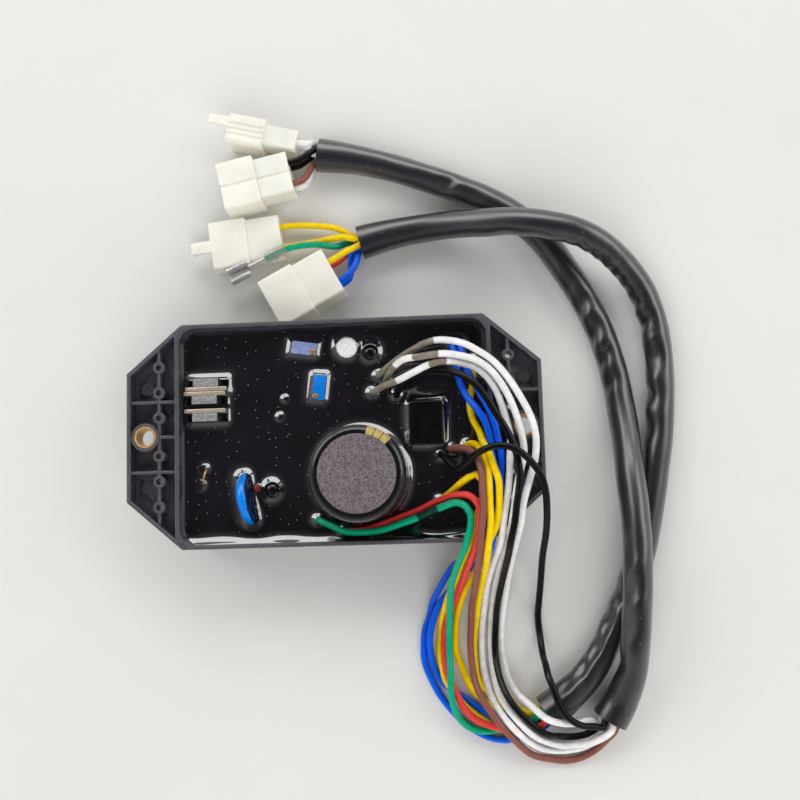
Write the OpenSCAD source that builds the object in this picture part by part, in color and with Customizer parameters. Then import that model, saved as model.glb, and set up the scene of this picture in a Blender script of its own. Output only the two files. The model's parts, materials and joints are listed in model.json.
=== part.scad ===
// Automatic voltage regulator for a generator: a potted tray with a sleeved wire harness
// Millimetres, +Z up, standing on Z = 0 with the tray centred on the origin

/* [Tray] */
// Length over both end flanges
tray_l = 155; // [140:1:180]
// Width over the long sides
tray_w = 84; // [78:1:100]
// Depth from the rim to the base
tray_h = 32; // [30:0.5:40]
// Corner cut along the length
corner_x = 20.8; // [15:0.1:25]
// Corner cut across the width
corner_y = 18; // [12:0.5:22]
// Thickness of the rim and of the long walls
wall = 1.5; // [1:0.1:2.5]
// Thickness of the floor
floor_t = 2.5; // [2:0.1:3]
// Corner radius of the well
well_r = 6; // [3:0.5:8]
// Thickness of the walls between well and flanges
end_wall = 1.6; // [1.2:0.1:2.5]
// Chamfer along the base edges
base_edge = 1; // [0.5:0.1:1.2]

/* [End flanges] */
// Length of each flange beyond the potted well
flange_l = 18.2; // [16:0.1:20]
// Depth of the flanges below the rim
flange_h = 8.5; // [7:0.5:12]
// Floor thickness of the flange pockets
flange_floor = 1.8; // [1.2:0.1:3]
// Thickness of the flange ribs
rib_t = 1.2; // [0.8:0.1:2]
// Distance of ribs and small bosses below the rim
rib_drop = 1; // [0.5:0.1:2]
// Distance of the boss row from the end of the tray
boss_in = 12; // [10.5:0.1:14]
// Outer diameter of the small bosses
boss_d = 4.6; // [4:0.1:5.5]
// Hole in the small bosses
boss_hole_d = 2.2; // [1.6:0.1:2.6]
// Distance of the first boss from the centre line
boss_first = 7.1; // [7:0.1:8]
// Pitch of the small bosses
boss_pitch = 9.55; // [8:0.05:10]
// Distance of the cross ribs from the centre line
cross_rib_y = 13.1; // [12.5:0.1:14]
// Diameter of the ejector marks
ejector_d = 4.8; // [3:0.1:5]

/* [Fixing points] */
// Distance of the fixing holes from the ends of the tray
fixing_in = 7; // [6.5:0.1:8.5]
// Outer diameter of the fixing bosses
fixing_boss_d = 10.6; // [10:0.1:12]
// Outer diameter of the brass inserts
insert_d = 8.5; // [8:0.1:9]
// Bore of the brass inserts
insert_bore = 6.5; // [5:0.1:7]
// Radial gap between insert and boss
insert_gap = 0.02; // [0.01:0.01:0.05]

/* [Board and potting] */
// Height of the posts under the circuit board
post_h = 1; // [0.5:0.1:2]
// Diameter of the posts
post_d = 5; // [4:0.5:8]
// Thickness of the circuit board
board_t = 1.5; // [1:0.1:2]
// Gap between board and well
board_gap = 0.5; // [0.2:0.1:1]
// Distance of the potting below the rim
pot_drop = 9; // [7:0.5:11]
// Gap left between potting and components
pot_gap = 0.05; // [0.02:0.01:0.1]

/* [Main capacitor] */
// Diameter of the capacitor over its sleeve
can_d = 35; // [30:0.5:36]
// Height of the capacitor
can_h = 40; // [35:1:50]
// Thickness of the capacitor's sleeve
can_skin = 0.3; // [0.2:0.05:0.5]
// Radius of the shoulder of the can
shoulder_r = 2.4; // [1.5:0.1:3]
// Diameter of the disc on the top
disc_d = 29; // [24:0.5:29]
// Distance of the capacitor from the middle of the tray
can_x = 9.7; // [5:0.1:12]
// Room between the capacitor and the front side of the well
can_room = 6.8; // [5:0.1:9]

/* [Power devices] */
// Width of a power device
dev_w = 15.6; // [14:0.1:16]
// Height of the metal tab
dev_h = 19.9; // [18:0.1:21]
// Thickness of the metal tab
dev_tab_t = 1.5; // [1:0.1:2]
// Thickness of the moulded body in front of the tab
dev_body_t = 3.3; // [2.8:0.1:3.5]
// Height of the full-width part of the moulded body
dev_low_h = 14; // [12:0.5:15]
// Width of the narrow part of the moulded body
dev_neck_w = 9.6; // [9:0.1:11]
// Hole in tab and body
dev_hole_d = 3.2; // [3:0.1:3.6]
// Pitch of the device leads
dev_pitch = 5.45; // [5:0.05:5.5]

/* [Trimmers] */
// Length of a trimmer
trim_l = 9.5; // [9:0.1:10]
// Width of a trimmer
trim_w = 4.8; // [4.5:0.1:5]
// Height of a trimmer
trim_h = 10; // [9:0.5:11]
// Height of the trimmers above the potting
trim_up = 2.8; // [2:0.1:4]
// Diameter of the adjusting screw
screw_d = 2.2; // [2:0.1:2.4]
// Length of the adjusting screw
screw_l = 3; // [2:0.1:4]
// Height of the screw above its trimmer
screw_up = 0.3; // [0.2:0.1:0.6]
// Radial clearance of the adjusting screw
screw_gap = 0.04; // [0.02:0.01:0.08]

/* [Small components] */
// Diameter of the varistor disc
disc_var_d = 20; // [16:0.5:20]
// Thickness of the varistor disc
disc_var_t = 4.7; // [4:0.1:5]
// Diameter of the small bare electrolytic
small_can_d = 8; // [6:0.1:8.5]
// Diameter of the coated capacitors
coated_d = 6.3; // [5:0.1:6.5]
// Height of the coated capacitors above the potting
coated_up = 2; // [1:0.1:3]
// Length of the rectifier block
block_l = 16.5; // [15:0.5:18]
// Width of the rectifier block
block_w = 13; // [11:0.5:13.5]
// Height of the rectifier block above the potting
block_up = 4; // [2:0.5:5]
// Diameter of the bare leads
lead_d = 0.8; // [0.6:0.1:1]

/* [Harness] */
// Diameter of each insulated wire
wire_d = 2.6; // [2:0.1:2.6]
// Outer diameter of the two harness sleeves
sleeve_d = 12; // [11.8:0.1:12.2]
// Wall of the harness sleeves
sleeve_wall = 0.8; // [0.5:0.1:0.9]
// Distance of the wires from the middle of their sleeve
lane_r = 3.3; // [3:0.1:3.4]

/* [Connectors] */
// Pitch of the cells across a connector
cell_pitch = 8.6; // [8.2:0.1:8.6]
// Pitch of the rows of cells
row_pitch = 6.5; // [6:0.1:6.5]
// Shell around the cells
shell_t = 1.2; // [0.8:0.1:1.3]
// Length of the front part
front_l = 15; // [12:0.5:15]
// Length of the rear part with the wire entries
rear_l = 13.5; // [12:0.5:14]
// Depth of the hood in front of the cells
hood_depth = 12; // [8:0.5:13]
// Width of a cell
cell_w = 7.2; // [6.8:0.1:7.4]
// Height of a cell
cell_h = 4.6; // [4:0.1:4.8]
// Gap around a wire in its entry
entry_gap = 0.3; // [0.2:0.05:0.5]
// Width of the flat contact tabs
tab_w = 6.3; // [6:0.1:6.4]
// Thickness of the flat contact tabs
tab_t = 0.8; // [0.6:0.1:1]
// Length of the locking tongues
tongue_l = 8; // [6:0.5:9]
// Width of the locking tongues
tongue_w = 4.8; // [4:0.1:5]

/* [Hidden] */
$fn = 48;
eps = 0.01;
wire_sides = 8;
sleeve_sides = 10;
board_z = floor_t + post_h;
board_top = board_z + board_t;
pot_z = tray_h - pot_drop;
body_l = tray_l - 2 * flange_l;
well_l = body_l - 2 * end_wall;
well_w = tray_w - 2 * wall;
well_x = well_l / 2;
well_y = well_w / 2;
flange_z = tray_h - flange_h;
fixing_x = tray_l / 2 - fixing_in;
boss_x = tray_l / 2 - boss_in;
ejector_x = fixing_x + 0.8;
ejector_y = boss_first + 1.2 * boss_pitch;
ejector_h = 0.3;
boss_rows = [for (s = [-1, 1], k = [0:2]) s * (boss_first + k * boss_pitch)];
post_x = 0.42 * well_l;
post_y = 0.42 * well_w;

// Places of the components, seen from above, from the ends and sides of the well
can_at = [can_x, can_room + can_d / 2 - well_y];
device_at = [[9.5 - well_x, 17.1, 0], [8.95 - well_x, 16.9, 180], [9.1 - well_x, 10.3, 180]];
device_z = pot_z + 6 - dev_h;
device_hole_z = dev_h - 4;
trimmer_at = [[-11, well_y - 8.1, -9], [-5.6, 17.3, -97]];
trimmer_z = pot_z + trim_up - trim_h;
screw_at = [3.5, -1.1];
small_can_at = [5.2, well_y - 8.3];
coated_at = [[14, well_y - 10.4], [-24.4, 19.7 - well_y]];
varistor_at = [-33.2, 16.6 - well_y, pot_z - 1];
varistor_turn = 10;
varistor_lean = -9;
varistor_pitch = 7.5;
bead_at = [-29.7, 20.6 - well_y];
bead_d = 3;
bead_up = 3;
block_at = [0.596 * well_x, 2.6];
block_r = 1.5;
jumper_at = [7.95 - well_x, -15.1];
jumper_turn = 78;
jumper_r = 3.05;
bump_at = [[-18.9, 13.5, 4.2], [-20.9, 6.7, 4.4]];
bump_h = 0.7;
pin_d = 0.7;
pin_pitch = 2.54;

// Connectors: place of the middle of the rear face and pointing direction
connector_at = [[-14.3, 118.9, 166], [-17.3, 106.4, -168], [-22.4, 81.6, -173], [-0.8, 65.2, -152]];
connector_cols = [1, 2, 2, 2];
connector_rows = [2, 2, 1, 2];
connector_l = front_l + rear_l;
rear_in = [1.5, 1.5, 0.9, 0.8];
side_grow = [0, 0, 0, 0.7];
groove_at = [[-1.6, 0.6, 2.8], [0], [], []];
groove_rear = [false, true, false, false];
groove_w = 1;
groove_t = 0.6;
entry_l = 2;
crimp_x = 4;
crimp_l = 5;
lead_in = 4;
hood_r = 1;
tongue_off = [-2, 0, 0, 0];
tongue_share = [0.72, 1, 1, 1];
tongue_t = 2.1;
hook = 1.2;
spade_at = [-28, 71.4, 10.4];
spade_turn = -155;
spade_l = 8.6;
spade_w = 7.2;
spade_t = 2.6;
cover_d = 4.4;
cover_l = 9;
barrel_l = 7.6;

// Middle lines of the two sleeves, with one point outside each mouth
route_a = [[98, -113.5, 6.5], [99.5, -110.5, 6.5], [104, -103, 7.5], [107, -94, 11.5],
    [108.5, -83.5, 16], [109.5, -70.5, 19], [110.5, -58, 19.5], [111, -45, 19], [111, -31.5, 17.5],
    [110.5, -18, 14.5], [110.5, -5.5, 10], [109.5, 9.5, 6.5], [107, 24.5, 6], [103, 38.5, 6],
    [97.5, 51, 6], [90.5, 63.5, 6], [83, 75, 6], [73.5, 84.5, 6], [62, 92, 6], [48.5, 98.5, 6],
    [34.5, 104, 6], [18.5, 109.5, 6], [4.5, 113, 6], [-6.5, 114.8, 6], [-7.3, 115, 6]];
route_b = [[72, -110.5, 6.5], [76, -107.5, 6.5], [84, -101.5, 6.5], [91.5, -94.5, 6], [98, -85.5, 6],
    [103, -75.5, 6], [108, -65.5, 6], [112.5, -54.5, 6], [116, -43.5, 6], [118.5, -32, 6],
    [121, -19.5, 6], [123.5, -5.5, 6], [125, 9, 6], [125.5, 24.5, 6], [124, 40, 6.5], [120, 52, 8],
    [113.5, 61.5, 11.5], [105, 69, 16], [94.5, 74.5, 19.5], [82.5, 77.5, 20.5], [72, 79.5, 19.5],
    [60, 81, 15.5], [46.5, 82.2, 10], [33, 82, 6.5], [19.5, 80, 6], [9.5, 77.5, 6], [8, 77, 6]];
lane_twist = 180;

// Points given from the right end of the well, and from its front side
function by_end(p) = [for (q = p) [well_x + q[0], q[1], q[2]]];
function by_side(p) = [for (q = p) [q[0], q[1] - well_y, q[2]]];

// Routes of the wires from the potting to their sleeve
route_white_1 = [[17, 21, 24.5], [22.5, 25, 27.5], [29.5, 29, 30.5], [38.5, 32, 34.5], [48.5, 30.5, 36],
    [54, 27.5, 36.5], [59.5, 23.5, 36.5], [64.5, 17.5, 36.5], [69, 10, 36.5], [72.5, 2.5, 36.5],
    [74, -4.5, 36.5], [73.5, -12, 36.5], [71, -20.5, 36.5], [68.5, -28.5, 36.5], [67.5, -35, 35.5],
    [65.5, -43.5, 28], [63.5, -53, 18], [62, -63, 9], [60.5, -73, 3], [60, -81, 1.5],
    [60.5, -88.5, 1.5], [62, -95, 4], [65, -100, 9], [70, -104, 13], [75, -108, 15],
    [80, -110, 13.5], [86.5, -111, 10], [92, -110.5, 8]];
route_white_2 = [[19.5, 19, 24.5], [23.5, 23.5, 31], [27, 25.5, 33.5], [33, 26, 35.5], [42, 26.5, 37.5],
    [48, 25.5, 37.5], [54, 23.5, 37.5], [58.5, 20, 37.5], [62.5, 14.5, 37.5], [65.5, 8.5, 37],
    [67.5, 2.5, 37], [69, -4, 37], [69.5, -10.5, 37], [68, -16.5, 37], [66.5, -22.5, 37],
    [65, -31, 37], [63.5, -38.5, 36], [61.5, -46, 28.5], [59, -55.5, 17], [57.5, -65, 8],
    [56.5, -73, 2], [56, -82.5, 1.5], [56.5, -92, 2], [58, -100, 6], [61.5, -105.5, 11],
    [65, -109.5, 12.5], [69.5, -114, 12.5], [75.5, -118, 8], [81, -120, 5.5], [86, -119.5, 6.5],
    [92, -118.5, 8.5]];
route_white_3 = [[14.5, 14.5, 24.5], [19, 16.5, 28.5], [24.5, 18, 31.5], [30.5, 20.5, 34], [36.5, 23, 35.5],
    [42.5, 24, 36], [48.5, 23, 35], [53, 21.5, 35], [57.5, 17.5, 35], [60.5, 12.5, 35],
    [62.5, 6.5, 35], [64, 0.5, 35], [65, -5, 35], [64.5, -11.5, 35.5], [64, -18.5, 36],
    [63, -25.5, 36], [61.5, -33, 36.5], [60.5, -39.5, 36.5], [59.5, -43.5, 34.5], [57.5, -49.5, 24.5],
    [55, -59, 13], [54, -67, 5.5], [53, -75, 1.5], [52.5, -84.5, 1.5], [53, -92.5, 2.5],
    [55, -100.5, 6], [58, -106, 10.5], [62.5, -111.5, 12.5], [67, -116, 10.5], [73.5, -121, 5],
    [79, -122.5, 2.5], [85, -122, 3.5], [91, -120, 5]];
route_black_1 = [[23.5, 13.5, 24.5], [26, 17, 27], [31, 19.5, 29.5], [36.5, 21.5, 31.5], [42, 21, 34],
    [46, 19.5, 37.5], [51.5, 16, 39.5], [56, 10.5, 40], [59.5, 4.5, 40], [63, -1.5, 40],
    [65.5, -7, 40], [67, -13, 40.5], [67.5, -17.5, 40.5], [67, -23, 40.5], [66, -28.5, 40.5],
    [65, -35, 40], [63.5, -41.5, 38], [62.5, -47.5, 32], [61, -54.5, 23.5], [59.5, -62, 15.5],
    [58.5, -68.5, 9], [58, -74.5, 5.5], [57.5, -81, 4.5], [57.5, -86, 4.5], [58.5, -93.5, 8],
    [61, -100, 12], [64.5, -105, 14], [69.5, -110, 14], [75, -114.5, 11.5], [80.5, -116.5, 6],
    [86, -117, 4.5], [91.5, -116, 4]];
route_black_2 = [[39.5, -9.5, 24.5], [41.5, -11.5, 28], [43.5, -14, 30.5], [45, -15.5, 32], [46.5, -15, 33.5],
    [48.5, -13.5, 35.5], [51.5, -11, 39.5], [55.5, -9, 43], [59.5, -8, 44], [64, -8.5, 44],
    [68.5, -11, 43.5], [72, -14.5, 42], [75, -19, 40], [76.5, -24.5, 38], [77, -31.5, 34],
    [77, -39, 27], [76, -48.5, 18], [75.5, -59, 9], [75, -66, 4], [74.5, -72.5, 1.5],
    [75, -80, 2], [75.5, -86.5, 6], [76, -89.5, 11], [76.5, -93, 14.5], [78, -97, 16],
    [79.5, -102, 16], [81.5, -106, 15.5], [85, -109.5, 14.5], [89, -111.5, 13], [93, -112, 11]];
route_brown = [[43, -7.5, 24.5], [47, -7.5, 29.5], [50.5, -9, 33.5], [53, -12.5, 37], [54, -17.5, 39],
    [54, -24, 40.5], [54, -31, 41.5], [53, -38, 42], [52.5, -44, 40.5], [51.5, -50.5, 32],
    [51, -55, 26.5], [50, -61, 19], [49, -67, 11], [48.5, -75, 5.5], [48, -83, 5],
    [49, -93.5, 7.5], [51, -100, 11], [54.5, -105.5, 12.5], [58, -110.5, 13], [63.5, -117, 10],
    [70, -123.5, 4.5], [78, -126, 1.5], [83, -126.5, 1.5], [88.5, -125.5, 1.5], [94, -122.5, 2.5],
    [98.5, -118, 4.5]];
exit_blue_1 = [[-13.2, 32.5, 24.5], [-11.7, 28, 26], [-11.2, 23.5, 26.5], [-10.2, 17, 27.5], [-7.7, 11, 31],
    [-4.2, 6, 33.5], [-1.7, 1.5, 34]];
route_blue_1 = concat(by_end(exit_blue_1), [[57.5, -4, 34], [58, -9.5, 34], [58.5, -14.5, 34],
    [58, -20, 34], [57, -25.5, 34], [56, -32.5, 34], [54.5, -39, 34], [53, -43, 34],
    [52, -45.5, 29.5], [48, -48.5, 20], [43, -51, 13.5], [37.5, -59, 7.5], [34, -66, 3],
    [32.5, -71.5, 1.5], [30.5, -77, 1.5], [30, -83, 1.5], [30, -88, 1.5], [32, -94, 1.5],
    [35.5, -101, 1.5], [40, -107, 1.5], [45.5, -112.5, 1.5], [53, -117, 1.5], [60.5, -118.5, 1.5],
    [66.5, -116.5, 3.5]]);
exit_blue_2 = [[-10.2, 32, 24.5], [-8.7, 28, 26], [-7.7, 22.5, 27], [-5.2, 16.5, 31], [-2.2, 10.5, 33.5],
    [0.3, 5.5, 34], [1.8, 1, 34]];
route_blue_2 = concat(by_end(exit_blue_2), [[60.5, -4.5, 34], [61.5, -11, 34], [61, -18, 34],
    [60.5, -25.5, 34], [59, -33, 34], [57.5, -39, 34], [56.5, -43.5, 34], [55, -46.5, 28.5],
    [51.5, -50.5, 19], [45.5, -54.5, 12.5], [40.5, -61.5, 6.5], [36.5, -66.5, 5.5], [34, -72.5, 4.5],
    [32.5, -79, 4], [32.5, -84.5, 3], [34, -91, 1.5], [37, -96.5, 1.5], [42, -100.5, 1.5],
    [47, -104, 1.5], [51.5, -107, 1.5], [56.5, -109.5, 1.5], [62, -110.5, 2.5]]);
route_yellow_1 = [[38, -27, 24.5], [43, -23.5, 29], [46.5, -20.5, 32], [49.5, -18.5, 33.5], [52, -17.5, 34],
    [54, -19.5, 34], [54.5, -22.5, 34], [54, -27, 34], [52.5, -31, 34], [51, -36, 34],
    [49, -43, 34], [48, -45, 31.5], [46, -49.5, 25.5], [43.5, -56, 18.5], [40.5, -62.5, 12],
    [38.5, -68.5, 6.5], [37, -74, 3], [36.5, -79, 1.5], [36, -85, 1.5], [37, -90.5, 3.5],
    [38, -95, 4.5], [40.5, -99, 4.5], [42.5, -102, 4], [46.5, -106.5, 3.5], [52, -111, 2],
    [57.5, -114, 1.5], [63.5, -114.5, 2]];
exit_yellow_2 = [[-8.7, -6.5, 24.5], [-6.7, -6, 28], [-4.7, -7, 31], [-2.7, -10, 33.5], [-1.7, -14, 36]];
route_yellow_2 = concat(by_end(exit_yellow_2),
    [[56.5, -19, 38], [56.5, -27, 39.5], [56.5, -34.5, 40.5], [55.5, -42, 41], [55, -45.5, 40],
    [54.5, -50, 33.5], [53, -57.5, 20.5], [51.5, -66, 9], [50.5, -73.5, 2.5], [49.5, -80.5, 1.5],
    [49.5, -88.5, 1.5], [50.5, -95, 1.5], [53.5, -99.5, 1.5], [57.5, -103, 2.5], [62.5, -104.5, 5.5]]);
exit_yellow_3 = [[-5.2, 25, 24.5], [-5.2, 20, 25], [-5.7, 15.5, 25], [-6.7, 11.5, 25], [-6.7, 7, 25],
    [-5.7, 2.5, 27.5], [-3.7, -2, 31.5], [-2.7, -6, 35], [-0.7, -10, 37.5]];
route_yellow_3 = concat(by_end(exit_yellow_3), [[58.5, -15, 38],
    [60, -20, 38], [60, -25.5, 38], [59.5, -31.5, 38], [58, -37, 38], [55.5, -42, 37.5],
    [54, -45.5, 35], [52.5, -49, 28], [49.5, -55.5, 18.5], [46, -62.5, 9.5], [43.5, -70, 4],
    [42.5, -77.5, 2], [42.5, -85, 2], [45, -92, 2.5], [48, -99, 2], [52.5, -103.5, 2],
    [57.5, -106, 2], [63, -106.5, 2]]);
exit_red = [[2.5, 3.5, 24.5], [8.5, 3.5, 25], [16, 5.5, 25.5], [23.5, 8, 26], [29.5, 10, 27],
    [35, 12.5, 28.5]];
route_red = concat(by_side(exit_red), [[40, -26, 30.5], [44.5, -25, 33.5], [49, -25, 36], [51.5, -27, 37],
    [53, -30.5, 37.5], [52.5, -34.5, 38], [52, -39.5, 38.5], [51, -43.5, 37.5], [49, -48.5, 31],
    [47, -53.5, 24.5], [44, -61.5, 15], [41, -68.5, 9], [38.5, -75.5, 5], [38, -84, 4.5],
    [38.5, -91.5, 6.5], [40, -95.5, 7.5], [42, -99.5, 7.5], [44.5, -105, 7], [49, -109.5, 7],
    [55.5, -112, 8], [61.5, -113.5, 8.5]]);
exit_green = [[-7, 8, 24.5], [-1.5, 5.5, 26], [3, 3.5, 27.5], [8, 3, 28], [16, 3.5, 28],
    [24.5, 6, 28.5], [30.5, 8, 29.5], [35, 10, 31]];
route_green = concat(by_side(exit_green), [[39.5, -29, 33], [44.5, -27.5, 35.5],
    [48, -29, 37.5], [49.5, -31.5, 38], [49.5, -35.5, 38.5], [48.5, -39.5, 38.5], [47, -44, 37],
    [45, -48.5, 31.5], [43, -53.5, 26], [41.5, -58.5, 21], [41, -64, 16.5], [40.5, -70.5, 11],
    [40, -78.5, 8.5], [40, -85, 8.5], [40, -93.5, 11], [40.5, -102.5, 9.5], [43, -109.5, 6],
    [47.5, -113.5, 4.5], [52.5, -114.5, 4.5], [57, -114, 4.5], [61.5, -111.5, 5.5]]);

// Loose ends between the sleeves and the connectors
tail_white_1 = [[-8.9, 119.2, 8.8]];
tail_white_3 = [[-8.3, 115.4, 6], [-9.7, 116.4, 5.2]];
tail_black_2 = [[-8.3, 116, 1.9], [-11, 114.2, 3.4]];
tail_blue_1 = [[8.3, 69, 9.5]];
tail_blue_2 = [[6, 74, 5.2], [5.5, 69, 4]];
tail_yellow_1 = [[5, 73.5, 10.5]];
tail_yellow_2 = [[0, 84.3, 5]];
tail_yellow_3 = [[3, 79.8, 8], [-8, 79, 5]];
tail_red = [[5, 75, 2]];
tail_green = [[4.5, 78.5, 3.5], [0, 76.3, 6.5], [-8, 76.5, 10.5]];

// Octagon of half sizes a and b with corner cuts cx and cy
function octagon(a, b, cx, cy) = [[a, b - cy], [a - cx, b], [cx - a, b], [-a, b - cy],
    [-a, cy - b], [cx - a, -b], [a - cx, -b], [a, cy - b]];

// The same octagon set in by t on every side
function inner_octagon(a, b, cx, cy, t) = let(
    k = cy * a + cx * (b - cy) - t * norm([cx, cy]),
    p = a - t,
    q = b - t)
    octagon(p, q, p - (k - cx * q) / cy, q - (k - cy * p) / cx);

// Directions along a route and a steady cross direction carried along it
function unit(v) = v / norm(v);
function heading(p, i) = let(n = len(p) - 1)
    i == 0 ? unit(p[1] - p[0]) :
    i == n ? unit(p[n] - p[n - 1]) :
    unit(unit(p[i + 1] - p[i]) + unit(p[i] - p[i - 1]));
function headings(p) = [for (i = [0:len(p) - 1]) heading(p, i)];
function carried(t, i, m) = i == len(t) ? [] : let(n = unit(m - (m * t[i]) * t[i]))
    concat([n], carried(t, i + 1, n));
function start_side(t) = abs(t[2]) > 0.9 ? [1, 0, 0] : [t[1], -t[0], 0];
function ring(p, t, m, r, s) = [for (k = [0:s - 1]) let(a = 360 * k / s)
    p + r * (cos(a) * m + sin(a) * cross(t, m))];
function rings(p, r, s) = let(t = headings(p), m = carried(t, 0, start_side(t[0])))
    [for (i = [0:len(p) - 1]) each ring(p[i], t[i], m[i], r, s)];
function skin(n, s, base) = [for (i = [0:n - 2], k = [0:s - 1]) let(
    a = base + i * s + k,
    b = base + i * s + (k + 1) % s)
    each [[a, a + s, b + s], [a, b + s, b]]];
function reversed(f) = [for (t = f) [t[2], t[1], t[0]]];
function annulus(s, o, q) = [for (k = [0:s - 1]) let(j = (k + 1) % s)
    each [[o + k, o + j, q + j], [o + k, q + j, q + k]]];

// Lane of a wire around the middle line of its sleeve, turning by the lane twist on the way
function side_of(t) = unit([t[1], -t[0], 0]);
function lane(p, a) = let(t = headings(p), n = len(p) - 1)
    [for (i = [0:n]) let(s = side_of(t[i]), w = a + lane_twist * i / n)
        p[i] + lane_r * (cos(w) * s + sin(w) * cross(s, t[i]))];

// Points of a connector and of the spade terminal in the common frame
function placed(at, p) = [at[0] + cos(at[2]) * p[0] - sin(at[2]) * p[1],
    at[1] + sin(at[2]) * p[0] + cos(at[2]) * p[1], p[2]];
function shell_h(c) = connector_rows[c] * row_pitch + 2 * shell_t;
function shell_w(c) = connector_cols[c] * cell_pitch + 2 * (shell_t + side_grow[c]);
function cell_y(c, k) = (k - (connector_cols[c] - 1) / 2) * cell_pitch;
function cell_z(c, j) = shell_h(c) / 2 + (j - (connector_rows[c] - 1) / 2) * row_pitch;
function into_cell(c, k, j) = [for (x = [-lead_in, crimp_x])
    placed(connector_at[c], [x, cell_y(c, k), cell_z(c, j)])];
function into_spade() = [for (x = [cover_l, 0])
    [spade_at[0] - cos(spade_turn) * x, spade_at[1] - sin(spade_turn) * x, spade_at[2]]];
function from_board(p) = concat([[p[0][0], p[0][1], board_top]], p);

// Whole wires
path_white_1 = concat(from_board(route_white_1), lane(route_a, 180), tail_white_1, into_cell(0, 0, 1));
path_white_2 = concat(from_board(route_white_2), lane(route_a, 60), into_cell(1, 1, 0));
path_white_3 = concat(from_board(route_white_3), route_a, tail_white_3, into_cell(0, 0, 0));
path_black_1 = concat(from_board(route_black_1), lane(route_a, 240), into_cell(1, 0, 1));
path_black_2 = concat(from_board(route_black_2), lane(route_a, 120), tail_black_2, into_cell(1, 0, 0));
path_brown = concat(from_board(route_brown), lane(route_a, 0), into_cell(1, 1, 1));
path_blue_1 = concat(from_board(route_blue_1), lane(route_b, 0), tail_blue_1, into_cell(3, 1, 1));
path_blue_2 = concat(from_board(route_blue_2), route_b, tail_blue_2, into_cell(3, 1, 0));
path_yellow_1 = concat(from_board(route_yellow_1), lane(route_b, 300), tail_yellow_1, into_cell(3, 0, 1));
path_yellow_2 = concat(from_board(route_yellow_2), lane(route_b, 180), tail_yellow_2, into_cell(2, 0, 0));
path_yellow_3 = concat(from_board(route_yellow_3), lane(route_b, 240), tail_yellow_3, into_cell(2, 1, 0));
path_red = concat(from_board(route_red), lane(route_b, 60), tail_red, into_cell(3, 0, 0));
path_green = concat(from_board(route_green), lane(route_b, 120), tail_green, into_spade());
wire_paths = [path_white_1, path_white_2, path_white_3, path_black_1, path_black_2, path_brown,
    path_blue_1, path_blue_2, path_yellow_1, path_yellow_2, path_yellow_3, path_red, path_green];

module rounded_plate(l, w, r) {
    square([l - 2 * r, w], center = true);
    square([l, w - 2 * r], center = true);
    for (x = [-1, 1], y = [-1, 1])
        translate([x * (l / 2 - r), y * (w / 2 - r)])
            circle(r = r);
}

// Tray with a potted well and a ribbed flange at each end

module rim_outline() {
    polygon(octagon(tray_l / 2, tray_w / 2, corner_x, corner_y));
}

module body_outline() {
    intersection() {
        rim_outline();
        square([body_l, tray_w], center = true);
    }
}

module well_outline() {
    rounded_plate(well_l, well_w, well_r);
}

module pocket_outline() {
    intersection() {
        polygon(inner_octagon(tray_l / 2, tray_w / 2, corner_x, corner_y, wall));
        translate([body_l / 2, -tray_w / 2])
            square([tray_l / 2, tray_w]);
    }
}

module flange_ribs() {
    translate([boss_x - rib_t / 2, -tray_w / 2])
        square([rib_t, tray_w]);
    for (s = [-1, 1])
        translate([body_l / 2 - eps, s * cross_rib_y - rib_t / 2])
            square([tray_l / 2 - body_l / 2, rib_t]);
    translate([body_l / 2 - eps, -rib_t / 2])
        square([fixing_x - body_l / 2, rib_t]);
    for (y = boss_rows)
        translate([boss_x, y])
            circle(d = boss_d);
}

module fixing_boss() {
    translate([fixing_x, 0])
        circle(d = fixing_boss_d);
}

module pocket_cut() {
    translate([0, 0, flange_z + flange_floor])
        linear_extrude(flange_h)
            difference() {
                pocket_outline();
                flange_ribs();
                fixing_boss();
            }
    translate([0, 0, tray_h - rib_drop])
        linear_extrude(flange_h)
            difference() {
                pocket_outline();
                fixing_boss();
            }
}

module flange_holes() {
    for (y = boss_rows)
        translate([boss_x, y, flange_z - eps])
            cylinder(d = boss_hole_d, h = flange_h + 2 * eps);
    translate([fixing_x, 0, flange_z - eps])
        cylinder(d = insert_d + 2 * insert_gap, h = flange_h + 2 * eps);
}

module ejector_marks() {
    for (s = [-1, 1])
        translate([ejector_x, s * ejector_y, flange_z + flange_floor - eps])
            cylinder(d = ejector_d, h = ejector_h + eps);
}

module base_chamfers() {
    cut = base_edge * sqrt(2);
    for (s = [-1, 1]) {
        translate([0, s * tray_w / 2, 0])
            rotate([45, 0, 0])
                cube([tray_l, cut, cut], center = true);
        translate([s * body_l / 2, 0, 0])
            rotate([0, 45, 0])
                cube([cut, tray_w, cut], center = true);
    }
}

module board_posts() {
    for (x = [-1, 1], y = [-1, 1])
        translate([x * post_x, y * post_y, floor_t - eps])
            cylinder(d = post_d, h = post_h + eps);
}

module housing() {
    color([0.1, 0.1, 0.11]) {
        difference() {
            union() {
                linear_extrude(tray_h)
                    body_outline();
                translate([0, 0, flange_z])
                    linear_extrude(flange_h)
                        rim_outline();
            }
            translate([0, 0, floor_t])
                linear_extrude(tray_h)
                    well_outline();
            base_chamfers();
            for (m = [0, 1])
                mirror([m, 0, 0]) {
                    pocket_cut();
                    flange_holes();
                }
        }
        board_posts();
        for (m = [0, 1])
            mirror([m, 0, 0])
                ejector_marks();
    }
}

// Brass insert with chamfered ends and two knurl grooves

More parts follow.
